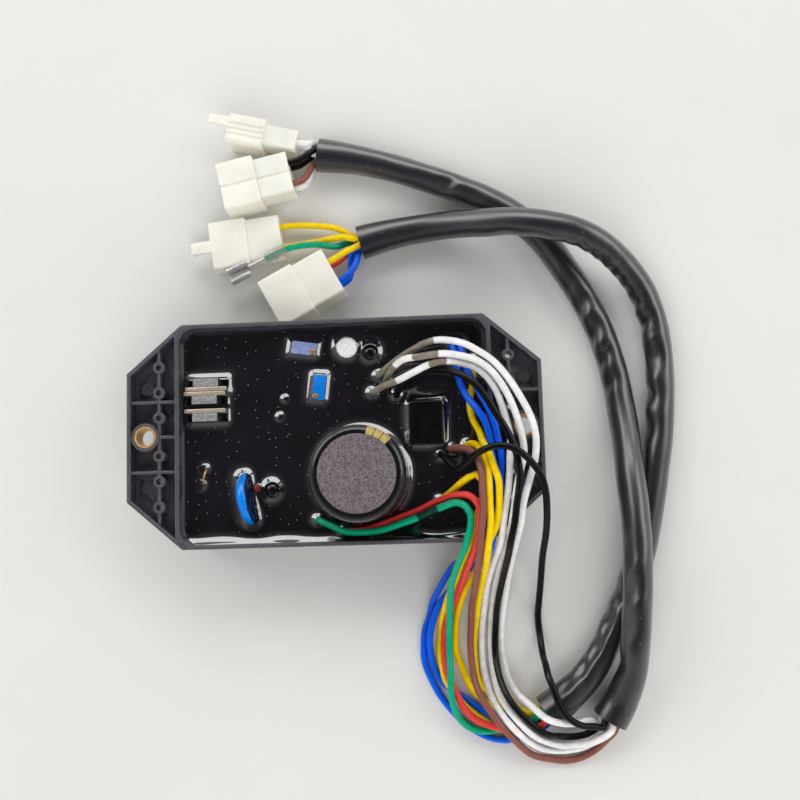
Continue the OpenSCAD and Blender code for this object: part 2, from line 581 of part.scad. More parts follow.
module insert() {
    edge = 0.4;
    groove = 0.3;
    r = insert_d / 2;
    b = insert_bore / 2;
    h = flange_h;
    rotate_extrude()
        polygon([[b, edge], [b + edge, 0], [r - edge, 0], [r, edge], [r, 0.3 * h], [r - groove, 0.35 * h],
            [r, 0.4 * h], [r, 0.6 * h], [r - groove, 0.65 * h], [r, 0.7 * h], [r, h - edge],
            [r - edge, h], [b + edge, h], [b, h - edge]]);
}

module insert_left() {
    color([0.78, 0.62, 0.3])
        translate([-fixing_x, 0, flange_z])
            insert();
}

module insert_right() {
    color([0.78, 0.62, 0.3])
        translate([fixing_x, 0, flange_z])
            insert();
}

// Circuit board and potting

module circuit_board() {
    color([0.2, 0.35, 0.2])
        translate([0, 0, board_z])
            linear_extrude(board_t)
                rounded_plate(well_l - 2 * board_gap, well_w - 2 * board_gap, well_r - board_gap);
}

module potting_bump(b) {
    r = (b[2] * b[2] / 4 + bump_h * bump_h) / (2 * bump_h);
    translate([b[0], b[1], pot_z + bump_h - r])
        sphere(r = r);
}

module upright_hole(at, d) {
    translate([at[0], at[1], board_top])
        cylinder(d = d + 2 * pot_gap, h = tray_h);
}

module potting() {
    color([0.04, 0.04, 0.045])
        difference() {
            union() {
                translate([0, 0, floor_t])
                    linear_extrude(pot_z - floor_t)
                        well_outline();
                for (b = bump_at)
                    potting_bump(b);
            }
            board_posts();
            translate([0, 0, board_z])
                linear_extrude(board_t)
                    rounded_plate(well_l - 2 * board_gap, well_w - 2 * board_gap, well_r - board_gap);
            upright_hole(can_at, can_d);
            upright_hole(small_can_at, small_can_d);
            for (p = coated_at)
                upright_hole(p, coated_d);
            for (p = wire_paths)
                upright_hole(p[0], wire_d);
            upright_hole(bead_at, lead_d);
            for (p = device_at)
                device_space(p);
            for (p = trimmer_at)
                trimmer_space(p);
            varistor_shape(pot_gap);
            block_shape(pot_gap);
            jumper_shape(pot_gap);
        }
}

// Main capacitor: can, heat-shrunk sleeve and top disc

function shoulder(r, grow) = [for (a = [0:15:90])
    [r - shoulder_r + (shoulder_r + grow) * cos(a), can_h - shoulder_r + (shoulder_r + grow) * sin(a)]];
can_r = can_d / 2 - can_skin;
can_top = can_h + board_top;

module capacitor_can() {
    color([0.75, 0.76, 0.78])
        translate([can_at[0], can_at[1], board_top])
            rotate_extrude($fn = 96)
                polygon(concat([[0, 0], [can_r, 0]], shoulder(can_r, 0), [[0, can_h]]));
}

module capacitor_sleeve() {
    lip = disc_d / 2 + pot_gap;
    color([0.05, 0.05, 0.055])
        translate([can_at[0], can_at[1], board_top])
            rotate_extrude($fn = 96)
                polygon(concat([[can_r, 0], [can_r + can_skin, 0]], shoulder(can_r, can_skin),
                    [[lip, can_h + can_skin], [lip, can_h]],
                    [for (a = [90:-15:0])
                        [can_r - shoulder_r + shoulder_r * cos(a), can_h - shoulder_r + shoulder_r * sin(a)]]));
}

module capacitor_top_disc() {
    color([0.55, 0.56, 0.58])
        translate([can_at[0], can_at[1], can_top])
            cylinder(d = disc_d, h = can_skin, $fn = 96);
}

// Power devices: metal tab behind a moulded body, leads down to the board

module on_device(p) {
    translate([p[0], p[1], device_z])
        rotate([0, 0, p[2]])
            children();
}

module device_bore() {
    translate([0, -eps, device_hole_z])
        rotate([-90, 0, 0])
            cylinder(d = dev_hole_d, h = dev_tab_t + dev_body_t + 2 * eps);
}

module device_tab(p) {
    color([0.8, 0.8, 0.82])
        on_device(p)
            difference() {
                translate([-dev_w / 2, 0, 0])
                    cube([dev_w, dev_tab_t, dev_h]);
                device_bore();
            }
}

module device_body(p) {
    color([0.14, 0.14, 0.15])
        on_device(p)
            difference() {
                union() {
                    translate([-dev_w / 2, dev_tab_t, 0])
                        cube([dev_w, dev_body_t, dev_low_h]);
                    translate([-dev_neck_w / 2, dev_tab_t, 0])
                        cube([dev_neck_w, dev_body_t, dev_h]);
                }
                device_bore();
            }
}

module device_leads(p) {
    on_device(p)
        for (k = [-1:1])
            translate([k * dev_pitch, dev_tab_t, board_top - device_z])
                cylinder(d = lead_d, h = device_z - board_top);
}

module device_space(p) {
    on_device(p)
        translate([-dev_w / 2 - pot_gap, -pot_gap, -pot_gap])
            cube([dev_w + 2 * pot_gap, dev_tab_t + dev_body_t + 2 * pot_gap, tray_h]);
    on_device(p)
        for (k = [-1:1])
            translate([k * dev_pitch, dev_tab_t, board_top - device_z])
                cylinder(d = lead_d + 2 * pot_gap, h = device_z - board_top);
}

module device_tab_1() {
    device_tab(device_at[0]);
}

module device_tab_2() {
    device_tab(device_at[1]);
}

module device_tab_3() {
    device_tab(device_at[2]);
}

module device_body_1() {
    device_body(device_at[0]);
}

module device_body_2() {
    device_body(device_at[1]);
}

module device_body_3() {
    device_body(device_at[2]);
}

// Trimmers: body with a blind bore, slotted screw that turns in it

module on_trimmer(p) {
    translate([p[0], p[1], trimmer_z])
        rotate([0, 0, p[2]])
            children();
}

module trimmer_body(p) {
    color([0.1, 0.25, 0.6])
        on_trimmer(p)
            difference() {
                translate([-trim_l / 2, -trim_w / 2, 0])
                    cube([trim_l, trim_w, trim_h]);
                translate([screw_at[0], screw_at[1], trim_h + screw_up - screw_l - screw_gap])
                    cylinder(d = screw_d + 2 * screw_gap, h = screw_l);
            }
}

module trimmer_screw(p) {
    slot = screw_d / 4;
    color([0.8, 0.62, 0.25])
        on_trimmer(p)
            translate([screw_at[0], screw_at[1], trim_h + screw_up - screw_l])
                difference() {
                    cylinder(d = screw_d, h = screw_l);
                    translate([-screw_d, -slot / 2, screw_l - slot])
                        cube([2 * screw_d, slot, screw_l]);
                }
}

module trimmer_pins(p, grow) {
    on_trimmer(p)
        for (k = [-1:1])
            translate([k * pin_pitch, 0, board_top - trimmer_z])
                cylinder(d = pin_d + 2 * grow, h = trimmer_z - board_top);
}

module trimmer_space(p) {
    on_trimmer(p)
        translate([-trim_l / 2 - pot_gap, -trim_w / 2 - pot_gap, -pot_gap])
            cube([trim_l + 2 * pot_gap, trim_w + 2 * pot_gap, tray_h]);
    trimmer_pins(p, pot_gap);
}

module trimmer_body_1() {
    trimmer_body(trimmer_at[0]);
}

module trimmer_body_2() {
    trimmer_body(trimmer_at[1]);
}

module trimmer_screw_1() {
    trimmer_screw(trimmer_at[0]);
}

module trimmer_screw_2() {
    trimmer_screw(trimmer_at[1]);
}

// Smaller components

module varistor_shape(grow) {
    e = disc_var_t / 2;
    r = disc_var_d / 2;
    translate(varistor_at)
        rotate([0, 0, varistor_turn])
            rotate([0, varistor_lean, 0])
                rotate([0, 90, 0])
                    rotate_extrude($fn = 64) {
                        translate([0, -e - grow])
                            square([r - e, disc_var_t + 2 * grow]);
                        intersection() {
                            translate([r - e, 0])
                                circle(r = e + grow, $fn = 32);
                            translate([0, -disc_var_t])
                                square([disc_var_d, 2 * disc_var_t]);
                        }
                    }
    for (s = [-1, 1])
        translate([varistor_at[0] - s * varistor_pitch / 2 * sin(varistor_turn),
            varistor_at[1] + s * varistor_pitch / 2 * cos(varistor_turn), board_top])
            cylinder(d = lead_d + 2 * grow, h = varistor_at[2] - board_top - 0.8 * r);
}

module varistor() {
    color([0.1, 0.3, 0.75])
        varistor_shape(0);
}

module block_shape(grow) {
    translate([block_at[0], block_at[1], board_top])
        linear_extrude(pot_z + block_up - board_top)
            rounded_plate(block_w + 2 * grow, block_l + 2 * grow, block_r + grow);
}

module rectifier_block() {
    color([0.06, 0.06, 0.065])
        block_shape(0);
}

module small_electrolytic() {
    edge = 0.6;
    r = small_can_d / 2;
    h = pot_z + coated_up + edge - board_top;
    color([0.85, 0.85, 0.86])
        translate([small_can_at[0], small_can_at[1], board_top])
            rotate_extrude()
                polygon([[0, 0], [r, 0], [r, h - edge], [r - edge, h], [0.62 * r, h], [0.58 * r, h - edge / 3],
                    [0, h - edge / 3]]);
}

module coated_capacitor(p) {
    dome = coated_d / 4;
    h = pot_z + coated_up - board_top;
    r = (coated_d * coated_d / 4 + dome * dome) / (2 * dome);
    color([0.08, 0.08, 0.09])
        translate([p[0], p[1], board_top])
            union() {
                cylinder(d = coated_d, h = h - dome);
                intersection() {
                    cylinder(d = coated_d, h = h);
                    translate([0, 0, h - r])
                        sphere(r = r);
                }
            }
}

module coated_capacitor_1() {
    coated_capacitor(coated_at[0]);
}

module coated_capacitor_2() {
    coated_capacitor(coated_at[1]);
}

module thermistor_bead() {
    color([0.6, 0.2, 0.12]) {
        translate([bead_at[0], bead_at[1], pot_z + bead_up])
            sphere(d = bead_d);
        translate([bead_at[0], bead_at[1], board_top])
            cylinder(d = lead_d, h = pot_z + bead_up - board_top);
    }
}

module jumper_shape(grow) {
    translate([jumper_at[0], jumper_at[1], 0])
        rotate([0, 0, jumper_turn]) {
            translate([0, 0, pot_z + eps])
                rotate([90, 0, 0])
                    rotate_extrude(angle = 180)
                        translate([jumper_r, 0])
                            circle(d = lead_d, $fn = 24);
            for (s = [-1, 1])
                translate([s * jumper_r, 0, board_top])
                    cylinder(d = lead_d + 2 * grow, h = pot_z + 2 * eps - board_top, $fn = 24);
        }
}

module jumper_lead() {
    color([0.8, 0.75, 0.6])
        jumper_shape(0);
}

module component_leads() {
    color([0.75, 0.75, 0.76]) {
        for (p = device_at)
            device_leads(p);
        for (p = trimmer_at)
            trimmer_pins(p, 0);
    }
}

// Wires and sleeves

module wire(path) {
    n = len(path);
    s = wire_sides;
    polyhedron(points = rings(path, wire_d / 2, s),
        faces = concat([[for (k = [0:s - 1]) k]], skin(n, s, 0),
            [[for (k = [s - 1:-1:0]) (n - 1) * s + k]]));
}

module sleeve(route) {
    path = [for (i = [1:len(route) - 2]) route[i]];
    n = len(path);
    s = sleeve_sides;
    o = n * s;
    r = sleeve_d / 2;
    color([0.13, 0.13, 0.14])
        polyhedron(points = concat(rings(path, r, s), rings(path, r - sleeve_wall, s)),
            faces = concat(skin(n, s, 0), reversed(skin(n, s, o)), annulus(s, 0, o),
                reversed(annulus(s, o - s, 2 * o - s))));
}

module wire_white_1() {
    color([0.92, 0.92, 0.9])
        wire(path_white_1);
}

module wire_white_2() {
    color([0.92, 0.92, 0.9])
        wire(path_white_2);
}

module wire_white_3() {
    color([0.92, 0.92, 0.9])
        wire(path_white_3);
}

module wire_black_1() {
    color([0.06, 0.06, 0.06])
        wire(path_black_1);
}

module wire_black_2() {
    color([0.06, 0.06, 0.06])
        wire(path_black_2);
}

module wire_brown() {
    color([0.3, 0.16, 0.1])
        wire(path_brown);
}

module wire_blue_1() {
    color([0.08, 0.2, 0.6])
        wire(path_blue_1);
}

module wire_blue_2() {
    color([0.08, 0.2, 0.6])
        wire(path_blue_2);
}

module wire_yellow_1() {
    color([0.95, 0.8, 0.1])
        wire(path_yellow_1);
}

module wire_yellow_2() {
    color([0.95, 0.8, 0.1])
        wire(path_yellow_2);
}

module wire_yellow_3() {
    color([0.95, 0.8, 0.1])
        wire(path_yellow_3);
}

module wire_red() {
    color([0.8, 0.1, 0.1])
        wire(path_red);
}

module wire_green() {
    color([0.1, 0.5, 0.25])
        wire(path_green);
}

module sleeve_a() {
    sleeve(route_a);
}

module sleeve_b() {
    sleeve(route_b);
}

// Connectors: stepped shell with wire entries, cells, and a hood or a locking tongue

module on_connector(c) {
    translate([connector_at[c][0], connector_at[c][1], 0])
        rotate([0, 0, connector_at[c][2]])
            children();
}

module lengthwise(x, l, w, h, r, z) {
    translate([x, 0, z])
        rotate([90, 0, 90])
            linear_extrude(l)
                rounded_plate(w, h, r);
}

module each_cell(c) {
    for (k = [0:connector_cols[c] - 1], j = [0:connector_rows[c] - 1])
        translate([0, cell_y(c, k), cell_z(c, j)])
            children();
}

module connector_shell(c, hooded) {
    w = shell_w(c);
    h = shell_h(c);
    color([0.9, 0.89, 0.84])
        on_connector(c)
            difference() {
                union() {
                    lengthwise(rear_l, front_l, w, h, hood_r, h / 2);
                    lengthwise(0, rear_l + eps, w - 2 * rear_in[c], h - 2 * rear_in[c], hood_r, h / 2);
                    if (!hooded)
                        tongue(c, h);
                }
                each_cell(c) {
                    rotate([0, 90, 0])
                        translate([0, 0, -eps])
                            cylinder(d = wire_d + 2 * entry_gap, h = entry_l + 2 * eps);
                    translate([entry_l, -cell_w / 2, -cell_h / 2])
                        cube([connector_l, cell_w, cell_h]);
                }
                grooves(c, h);
                if (hooded)
                    lengthwise(connector_l - hood_depth, hood_depth + eps, w - 2 * shell_t,
                        h - 2 * shell_t, hood_r, h / 2);
            }
}

module grooves(c, h) {
    for (y = groove_at[c]) {
        translate([rear_l, y - groove_w / 2, h - groove_t])
            cube([front_l + eps, groove_w, groove_t + eps]);
        if (groove_rear[c])
            translate([-eps, y - groove_w / 2, h - rear_in[c] - groove_t])
                cube([rear_l + eps, groove_w, groove_t + eps]);
    }
}

module tongue(c, h) {
    w = tongue_w * tongue_share[c];
    translate([connector_l - shell_t, tongue_off[c] - w / 2, h - tongue_t])
        cube([tongue_l + shell_t, w, tongue_t]);
    translate([connector_l + tongue_l - hook, tongue_off[c] - w / 2, h - tongue_t - hook])
        cube([hook, w, hook + eps]);
}

module crimp() {
    rotate([0, 90, 0])
        translate([0, 0, crimp_x])
            cylinder(d = wire_d, h = crimp_l);
}

module tab_contacts(c) {
    base = crimp_x + crimp_l;
    tip = connector_l - 2.5;
    color([0.8, 0.79, 0.76])
        on_connector(c)
            each_cell(c) {
                crimp();
                translate([base - eps, -cell_w / 2, -tab_t / 2])
                    cube([front_l / 4, cell_w, tab_t]);
                translate([base, -tab_w / 2, -tab_t / 2])
                    cube([tip - base, tab_w, tab_t]);
            }
}

module socket_contacts(c) {
    base = crimp_x + crimp_l;
    t = tab_t;
    color([0.8, 0.79, 0.76])
        on_connector(c)
            each_cell(c) {
                crimp();
                difference() {
                    translate([base - eps, -cell_w / 2, -1.5 * t])
                        cube([connector_l - base - shell_t, cell_w, 3 * t]);
                    translate([base + 2 * t, -tab_w / 2, -0.6 * t])
                        cube([connector_l, tab_w, 1.2 * t]);
                    translate([base + 2 * t, -t, 0])
                        cube([connector_l, 2 * t, 3 * t]);
                }
            }
}

module connector_1() {
    connector_shell(0, false);
}

module connector_2() {
    connector_shell(1, true);
}

module connector_3() {
    connector_shell(2, false);
}

module connector_4() {
    connector_shell(3, true);
}

module contacts_1() {
    socket_contacts(0);
}

module contacts_2() {
    tab_contacts(1);
}

module contacts_3() {
    socket_contacts(2);
}

module contacts_4() {
    tab_contacts(3);
}

// Loose spade terminal of the green wire with its clear cover

module on_spade() {
    translate(spade_at)
        rotate([0, 0, spade_turn])
            children();
}

module spade_terminal() {
    roll = spade_t / 2;
    color([0.8, 0.79, 0.76])
        on_spade() {
            rotate([0, 90, 0])
                cylinder(d = wire_d, h = barrel_l);
            translate([barrel_l - eps, -spade_w / 2 + roll, -roll])
                cube([spade_l, spade_w - 2 * roll, tab_t]);
            for (s = [-1, 1])
                translate([barrel_l - eps, s * (spade_w / 2 - roll), 0])
                    rotate([0, 90, 0])
                        difference() {
                            cylinder(r = roll, h = spade_l, $fn = 32);
                            translate([-0.2 * roll, -s * roll - tab_t / 2 - 0.5, -eps])
                                cube([tab_t, 1 + tab_t, spade_l + 2 * eps]);
                        }
        }
}

module terminal_cover() {
    color([0.9, 0.9, 0.88])
        on_spade()
            rotate([0, -90, 0])
                difference() {
                    cylinder(d = cover_d, h = cover_l - eps);
                    translate([0, 0, -eps])
                        cylinder(d = wire_d + entry_gap, h = cover_l + 2 * eps);
                }
}

housing();
insert_left();
insert_right();
circuit_board();
potting();
capacitor_can();
capacitor_sleeve();
capacitor_top_disc();
device_tab_1();
device_tab_2();
device_tab_3();
device_body_1();
device_body_2();
device_body_3();
trimmer_body_1();
trimmer_body_2();
trimmer_screw_1();
trimmer_screw_2();
varistor();
rectifier_block();
small_electrolytic();
coated_capacitor_1();
coated_capacitor_2();
thermistor_bead();
jumper_lead();
component_leads();
wire_white_1();
wire_white_2();
wire_white_3();
wire_black_1();
wire_black_2();
wire_brown();
wire_blue_1();
wire_blue_2();
wire_yellow_1();
wire_yellow_2();
wire_yellow_3();
wire_red();
wire_green();
sleeve_a();
sleeve_b();
connector_1();
connector_2();
connector_3();
connector_4();
contacts_1();
contacts_2();
contacts_3();
contacts_4();
spade_terminal();
terminal_cover();
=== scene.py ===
"""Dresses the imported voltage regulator: tray, resin, components, wire harness, connectors and stage."""

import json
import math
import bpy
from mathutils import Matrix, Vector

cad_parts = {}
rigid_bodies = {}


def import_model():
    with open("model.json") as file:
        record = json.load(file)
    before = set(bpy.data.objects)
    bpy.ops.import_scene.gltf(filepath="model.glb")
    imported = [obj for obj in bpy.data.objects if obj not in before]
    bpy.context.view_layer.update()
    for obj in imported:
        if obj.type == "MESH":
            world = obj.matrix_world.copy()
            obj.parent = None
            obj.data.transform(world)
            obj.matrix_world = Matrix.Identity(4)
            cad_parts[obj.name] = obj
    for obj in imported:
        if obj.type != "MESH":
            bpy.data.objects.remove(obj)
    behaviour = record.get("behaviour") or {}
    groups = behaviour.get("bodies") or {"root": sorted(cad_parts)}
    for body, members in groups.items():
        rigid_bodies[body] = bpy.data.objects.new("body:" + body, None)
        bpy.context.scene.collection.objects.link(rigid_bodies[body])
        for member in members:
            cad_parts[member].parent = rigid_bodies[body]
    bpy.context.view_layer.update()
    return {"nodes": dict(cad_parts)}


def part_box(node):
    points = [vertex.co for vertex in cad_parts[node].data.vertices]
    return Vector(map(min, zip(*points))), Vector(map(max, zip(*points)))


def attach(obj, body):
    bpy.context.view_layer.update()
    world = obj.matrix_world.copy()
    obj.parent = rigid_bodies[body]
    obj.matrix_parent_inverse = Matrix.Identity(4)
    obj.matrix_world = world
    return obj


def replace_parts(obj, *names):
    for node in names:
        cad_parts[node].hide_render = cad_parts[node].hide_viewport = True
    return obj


bl_info = {
    "name": "Voltage regulator dresser",
    "version": (1, 0, 0),
    "blender": (4, 5, 0),
    "location": "View3D > Sidebar > Regulator",
    "description": "Builds the visible pieces of a potted generator voltage regulator around its CAD frame",
    "category": "Object",
}

import bmesh
import bpy
from mathutils import Matrix, Vector, noise
from mathutils.bvhtree import BVHTree
from mathutils.geometry import intersect_point_line

for stray in list(bpy.data.objects):
    bpy.data.objects.remove(stray, do_unlink=True)
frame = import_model()

NODES = frame["nodes"]
BODY = "regulator"
MM = 0.001


def node_box(*nodes):
    """Lowest and highest corners that CAD nodes have together, in millimetres."""
    lows, highs = zip(*(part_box(node) for node in nodes))
    low = [min(corner[i] for corner in lows) / MM for i in range(3)]
    high = [max(corner[i] for corner in highs) / MM for i in range(3)]
    return low, high


def round_part(node):
    """Centre and radius of an upright round part."""
    low, high = node_box(node)
    return (low[0] + high[0]) / 2, (low[1] + high[1]) / 2, (high[1] - low[1]) / 2


def square_part(corner, *nodes):
    """Centre, turn, half sizes and corner radius of an upright square part that isn't turned."""
    low, high = node_box(*nodes)
    middle = [(low[i] + high[i]) / 2 for i in (0, 1)]
    half = [(high[i] - low[i]) / 2 for i in (0, 1)]
    return (*middle, 0, *half, corner)


# Main capacitor, in millimetres and degrees
CAN_R = 17.5
CAN = (*round_part("capacitor_top_disc")[:2], CAN_R)
CAN_TOP = node_box("capacitor_sleeve")[1][2]
CAN_SIDES = 128
SHOULDER = 2.7
FILM = 0.3
FILM_FOOT = 4.0
FILM_RINGS = (25.0, 35.0)
LIP_R = 14.15
LIP_ROUND = 0.2
LIP_DROP = 0.1
DISC_R = 14.1
DISC_DIP = 0.02
# Rim of the disc: distance inwards and distance below the can's top
DISC_RIM = ((0.0, 0.3), (0.0, 0.12), (0.15, 0.03), (0.5, 0.0))
BAR_STARTS = (44, 55, 66)
BAR_WIDTH = 10
BAR_SKIN = 0.04
BAR_FROM = 12
BAR_OVERLAP = 0.55
BAR_STEPS = 8

# Resin and what stands in it, in millimetres
RESIN_Z = 23.0
BOARD_Z = node_box("circuit_board")[1][2]
WELL = square_part(6.0, "potting")
WELL_X, WELL_Y = WELL[3:5]
ROUND_PARTS = (CAN, *map(round_part, ("small_electrolytic", "coated_capacitor_1", "coated_capacitor_2")))
BOX_PARTS = (
    *(square_part(0.3, f"device_tab_{k}", f"device_body_{k}") for k in (1, 2, 3)),
    square_part(1.5, "rectifier_block"),
    # Both trimmers and the varistor: x, y, turn in degrees, half length, half width, corner radius
    (-11.0, 32.4, -9, 4.75, 2.4, 0.3),
    (-5.6, 17.3, -97, 4.75, 2.4, 0.3),
    (-33.2, -23.9, 10, 2.4, 9.9, 2.2),
)
THIN_LEADS = ((-29.7, -19.9, 0.5), (-50.38, -18.08, 0.5), (-49.12, -12.12, 0.5))
RESIN_BUMPS = ((-18.9, 13.5, 2.4), (-20.9, 6.7, 2.6))
BUMP_RISE = 0.75
RESIN_OVERLAP = 0.15
RESIN_DEPTH = 5.0
RESIN_CREST = 60
INSIDE_PART = -0.7
SUNK = -3.0

# Climb of the resin, as shares of its full rise and reach, and its slow waves in millimetres
THIN_CLIMB = 0.8
WALL_CLIMB = 0.5
FRONT_CLIMB = 1.15
FRONT_REACH = 1.25
UNEVEN = 0.35
UNEVEN_WAVE = (11, 9.0)
SWELL = 0.06
SWELL_WAVE = (14, 3.0)

# Harness, in millimetres: middle lines of the two sleeves with one point outside each mouth,
# then each wire from the resin to its sleeve, and its loose end behind the sleeve
ROUTE_A = (
    (98, -113.5, 6.5), (99.5, -110.5, 6.5), (104, -103, 7.5), (107, -94, 11.5), (108.5, -83.5, 16),
    (109.5, -70.5, 19), (110.5, -58, 19.5), (111, -45, 19), (111, -31.5, 17.5), (110.5, -18, 14.5),
    (110.5, -5.5, 10), (109.5, 9.5, 6.5), (107, 24.5, 6), (103, 38.5, 6), (97.5, 51, 6),
    (90.5, 63.5, 6), (83, 75, 6), (73.5, 84.5, 6), (62, 92, 6), (48.5, 98.5, 6),
    (34.5, 104, 6), (18.5, 109.5, 6), (4.5, 113, 6), (-6.5, 114.8, 6), (-7.3, 115, 6),
)
ROUTE_B = (
    (72, -110.5, 6.5), (76, -107.5, 6.5), (84, -101.5, 6.5), (91.5, -94.5, 6), (98, -85.5, 6),
    (103, -75.5, 6), (108, -65.5, 6), (112.5, -54.5, 6), (116, -43.5, 6), (118.5, -32, 6),
    (121, -19.5, 6), (123.5, -5.5, 6), (125, 9, 6), (125.5, 24.5, 6), (124, 40, 6.5), (120, 52, 8),
    (113.5, 61.5, 11.5), (105, 69, 16), (94.5, 74.5, 19.5), (82.5, 77.5, 20.5), (72, 79.5, 19.5),
    (60, 81, 15.5), (46.5, 82.2, 10), (33, 82, 6.5), (19.5, 80, 6), (9.5, 77.5, 6), (8, 77, 6),
)
ROUTE_WHITE_1 = (
    (17, 21, 24.5), (22.5, 25, 27.5), (29.5, 29, 30.5), (38.5, 32, 34.5), (48.5, 30.5, 36),
    (54, 27.5, 36.5), (59.5, 23.5, 36.5), (64.5, 17.5, 36.5), (69, 10, 36.5), (72.5, 2.5, 36.5),
    (74, -4.5, 36.5), (73.5, -12, 36.5), (71, -20.5, 36.5), (68.5, -28.5, 36.5), (67.5, -35, 35.5),
    (65.5, -43.5, 28), (63.5, -53, 18), (62, -63, 9), (60.5, -73, 3), (60, -81, 1.5), (60.5, -88.5, 1.5),
    (62, -95, 4), (65, -100, 9), (70, -104, 13), (75, -108, 15), (80, -110, 13.5), (86.5, -111, 10),
    (92, -110.5, 8),
)
ROUTE_WHITE_2 = (
    (19.5, 19, 24.5), (23.5, 23.5, 31), (27, 25.5, 33.5), (33, 26, 35.5), (42, 26.5, 37.5),
    (48, 25.5, 37.5), (54, 23.5, 37.5), (58.5, 20, 37.5), (62.5, 14.5, 37.5), (65.5, 8.5, 37),
    (67.5, 2.5, 37), (69, -4, 37), (69.5, -10.5, 37), (68, -16.5, 37), (66.5, -22.5, 37), (65, -31, 37),
    (63.5, -38.5, 36), (61.5, -46, 28.5), (59, -55.5, 17), (57.5, -65, 8), (56.5, -73, 2), (56, -82.5, 1.5),
    (56.5, -92, 2), (58, -100, 6), (61.5, -105.5, 11), (65, -109.5, 12.5), (69.5, -114, 12.5),
    (75.5, -118, 8), (81, -120, 5.5), (86, -119.5, 6.5), (92, -118.5, 8.5),
)
ROUTE_WHITE_3 = (
    (14.5, 14.5, 24.5), (19, 16.5, 28.5), (24.5, 18, 31.5), (30.5, 20.5, 34), (36.5, 23, 35.5),
    (42.5, 24, 36), (48.5, 23, 35), (53, 21.5, 35), (57.5, 17.5, 35), (60.5, 12.5, 35), (62.5, 6.5, 35),
    (64, 0.5, 35), (65, -5, 35), (64.5, -11.5, 35.5), (64, -18.5, 36), (63, -25.5, 36), (61.5, -33, 36.5),
    (60.5, -39.5, 36.5), (59.5, -43.5, 34.5), (57.5, -49.5, 24.5), (55, -59, 13), (54, -67, 5.5),
    (53, -75, 1.5), (52.5, -84.5, 1.5), (53, -92.5, 2.5), (55, -100.5, 6), (58, -106, 10.5),
    (62.5, -111.5, 12.5), (67, -116, 10.5), (73.5, -121, 5), (79, -122.5, 2.5), (85, -122, 3.5),
    (91, -120, 5),
)
ROUTE_BLACK_1 = (
    (23.5, 13.5, 24.5), (26, 17, 27), (31, 19.5, 29.5), (36.5, 21.5, 31.5), (42, 21, 34), (46, 19.5, 37.5),
    (51.5, 16, 39.5), (56, 10.5, 40), (59.5, 4.5, 40), (63, -1.5, 40), (65.5, -7, 40), (67, -13, 40.5),
    (67.5, -17.5, 40.5), (67, -23, 40.5), (66, -28.5, 40.5), (65, -35, 40), (63.5, -41.5, 38),
    (62.5, -47.5, 32), (61, -54.5, 23.5), (59.5, -62, 15.5), (58.5, -68.5, 9), (58, -74.5, 5.5),
    (57.5, -81, 4.5), (57.5, -86, 4.5), (58.5, -93.5, 8), (61, -100, 12), (64.5, -105, 14),
    (69.5, -110, 14), (75, -114.5, 11.5), (80.5, -116.5, 6), (86, -117, 4.5), (91.5, -116, 4),
)
ROUTE_BLACK_2 = (
    (39.5, -9.5, 24.5), (41.5, -11.5, 28), (43.5, -14, 30.5), (45, -15.5, 32), (46.5, -15, 33.5),
    (48.5, -13.5, 35.5), (51.5, -11, 39.5), (55.5, -9, 43), (59.5, -8, 44), (64, -8.5, 44),
    (68.5, -11, 43.5), (72, -14.5, 42), (75, -19, 40), (76.5, -24.5, 38), (77, -31.5, 34), (77, -39, 27),
    (76, -48.5, 18), (75.5, -59, 9), (75, -66, 4), (74.5, -72.5, 1.5), (75, -80, 2), (75.5, -86.5, 6),
    (76, -89.5, 11), (76.5, -93, 14.5), (78, -97, 16), (79.5, -102, 16), (81.5, -106, 15.5),
    (85, -109.5, 14.5), (89, -111.5, 13), (93, -112, 11),
)
ROUTE_BROWN = (
    (43, -7.5, 24.5), (47, -7.5, 29.5), (50.5, -9, 33.5), (53, -12.5, 37), (54, -17.5, 39), (54, -24, 40.5),
    (54, -31, 41.5), (53, -38, 42), (52.5, -44, 40.5), (51.5, -50.5, 32), (51, -55, 26.5), (50, -61, 19),
    (49, -67, 11), (48.5, -75, 5.5), (48, -83, 5), (49, -93.5, 7.5), (51, -100, 11), (54.5, -105.5, 12.5),
    (58, -110.5, 13), (63.5, -117, 10), (70, -123.5, 4.5), (78, -126, 1.5), (83, -126.5, 1.5),
    (88.5, -125.5, 1.5), (94, -122.5, 2.5), (98.5, -118, 4.5),
)
ROUTE_BLUE_1 = (
    (44.5, 32.5, 24.5), (46, 28, 26), (46.5, 23.5, 26.5), (47.5, 17, 27.5), (50, 11, 31), (53.5, 6, 33.5),
    (56, 1.5, 34), (57.5, -4, 34), (58, -9.5, 34), (58.5, -14.5, 34), (58, -20, 34), (57, -25.5, 34),
    (56, -32.5, 34), (54.5, -39, 34), (53, -43, 34), (52, -45.5, 29.5), (48, -48.5, 20), (43, -51, 13.5),
    (37.5, -59, 7.5), (34, -66, 3), (32.5, -71.5, 1.5), (30.5, -77, 1.5), (30, -83, 1.5), (30, -88, 1.5),
    (32, -94, 1.5), (35.5, -101, 1.5), (40, -107, 1.5), (45.5, -112.5, 1.5), (53, -117, 1.5),
    (60.5, -118.5, 1.5), (66.5, -116.5, 3.5),
)
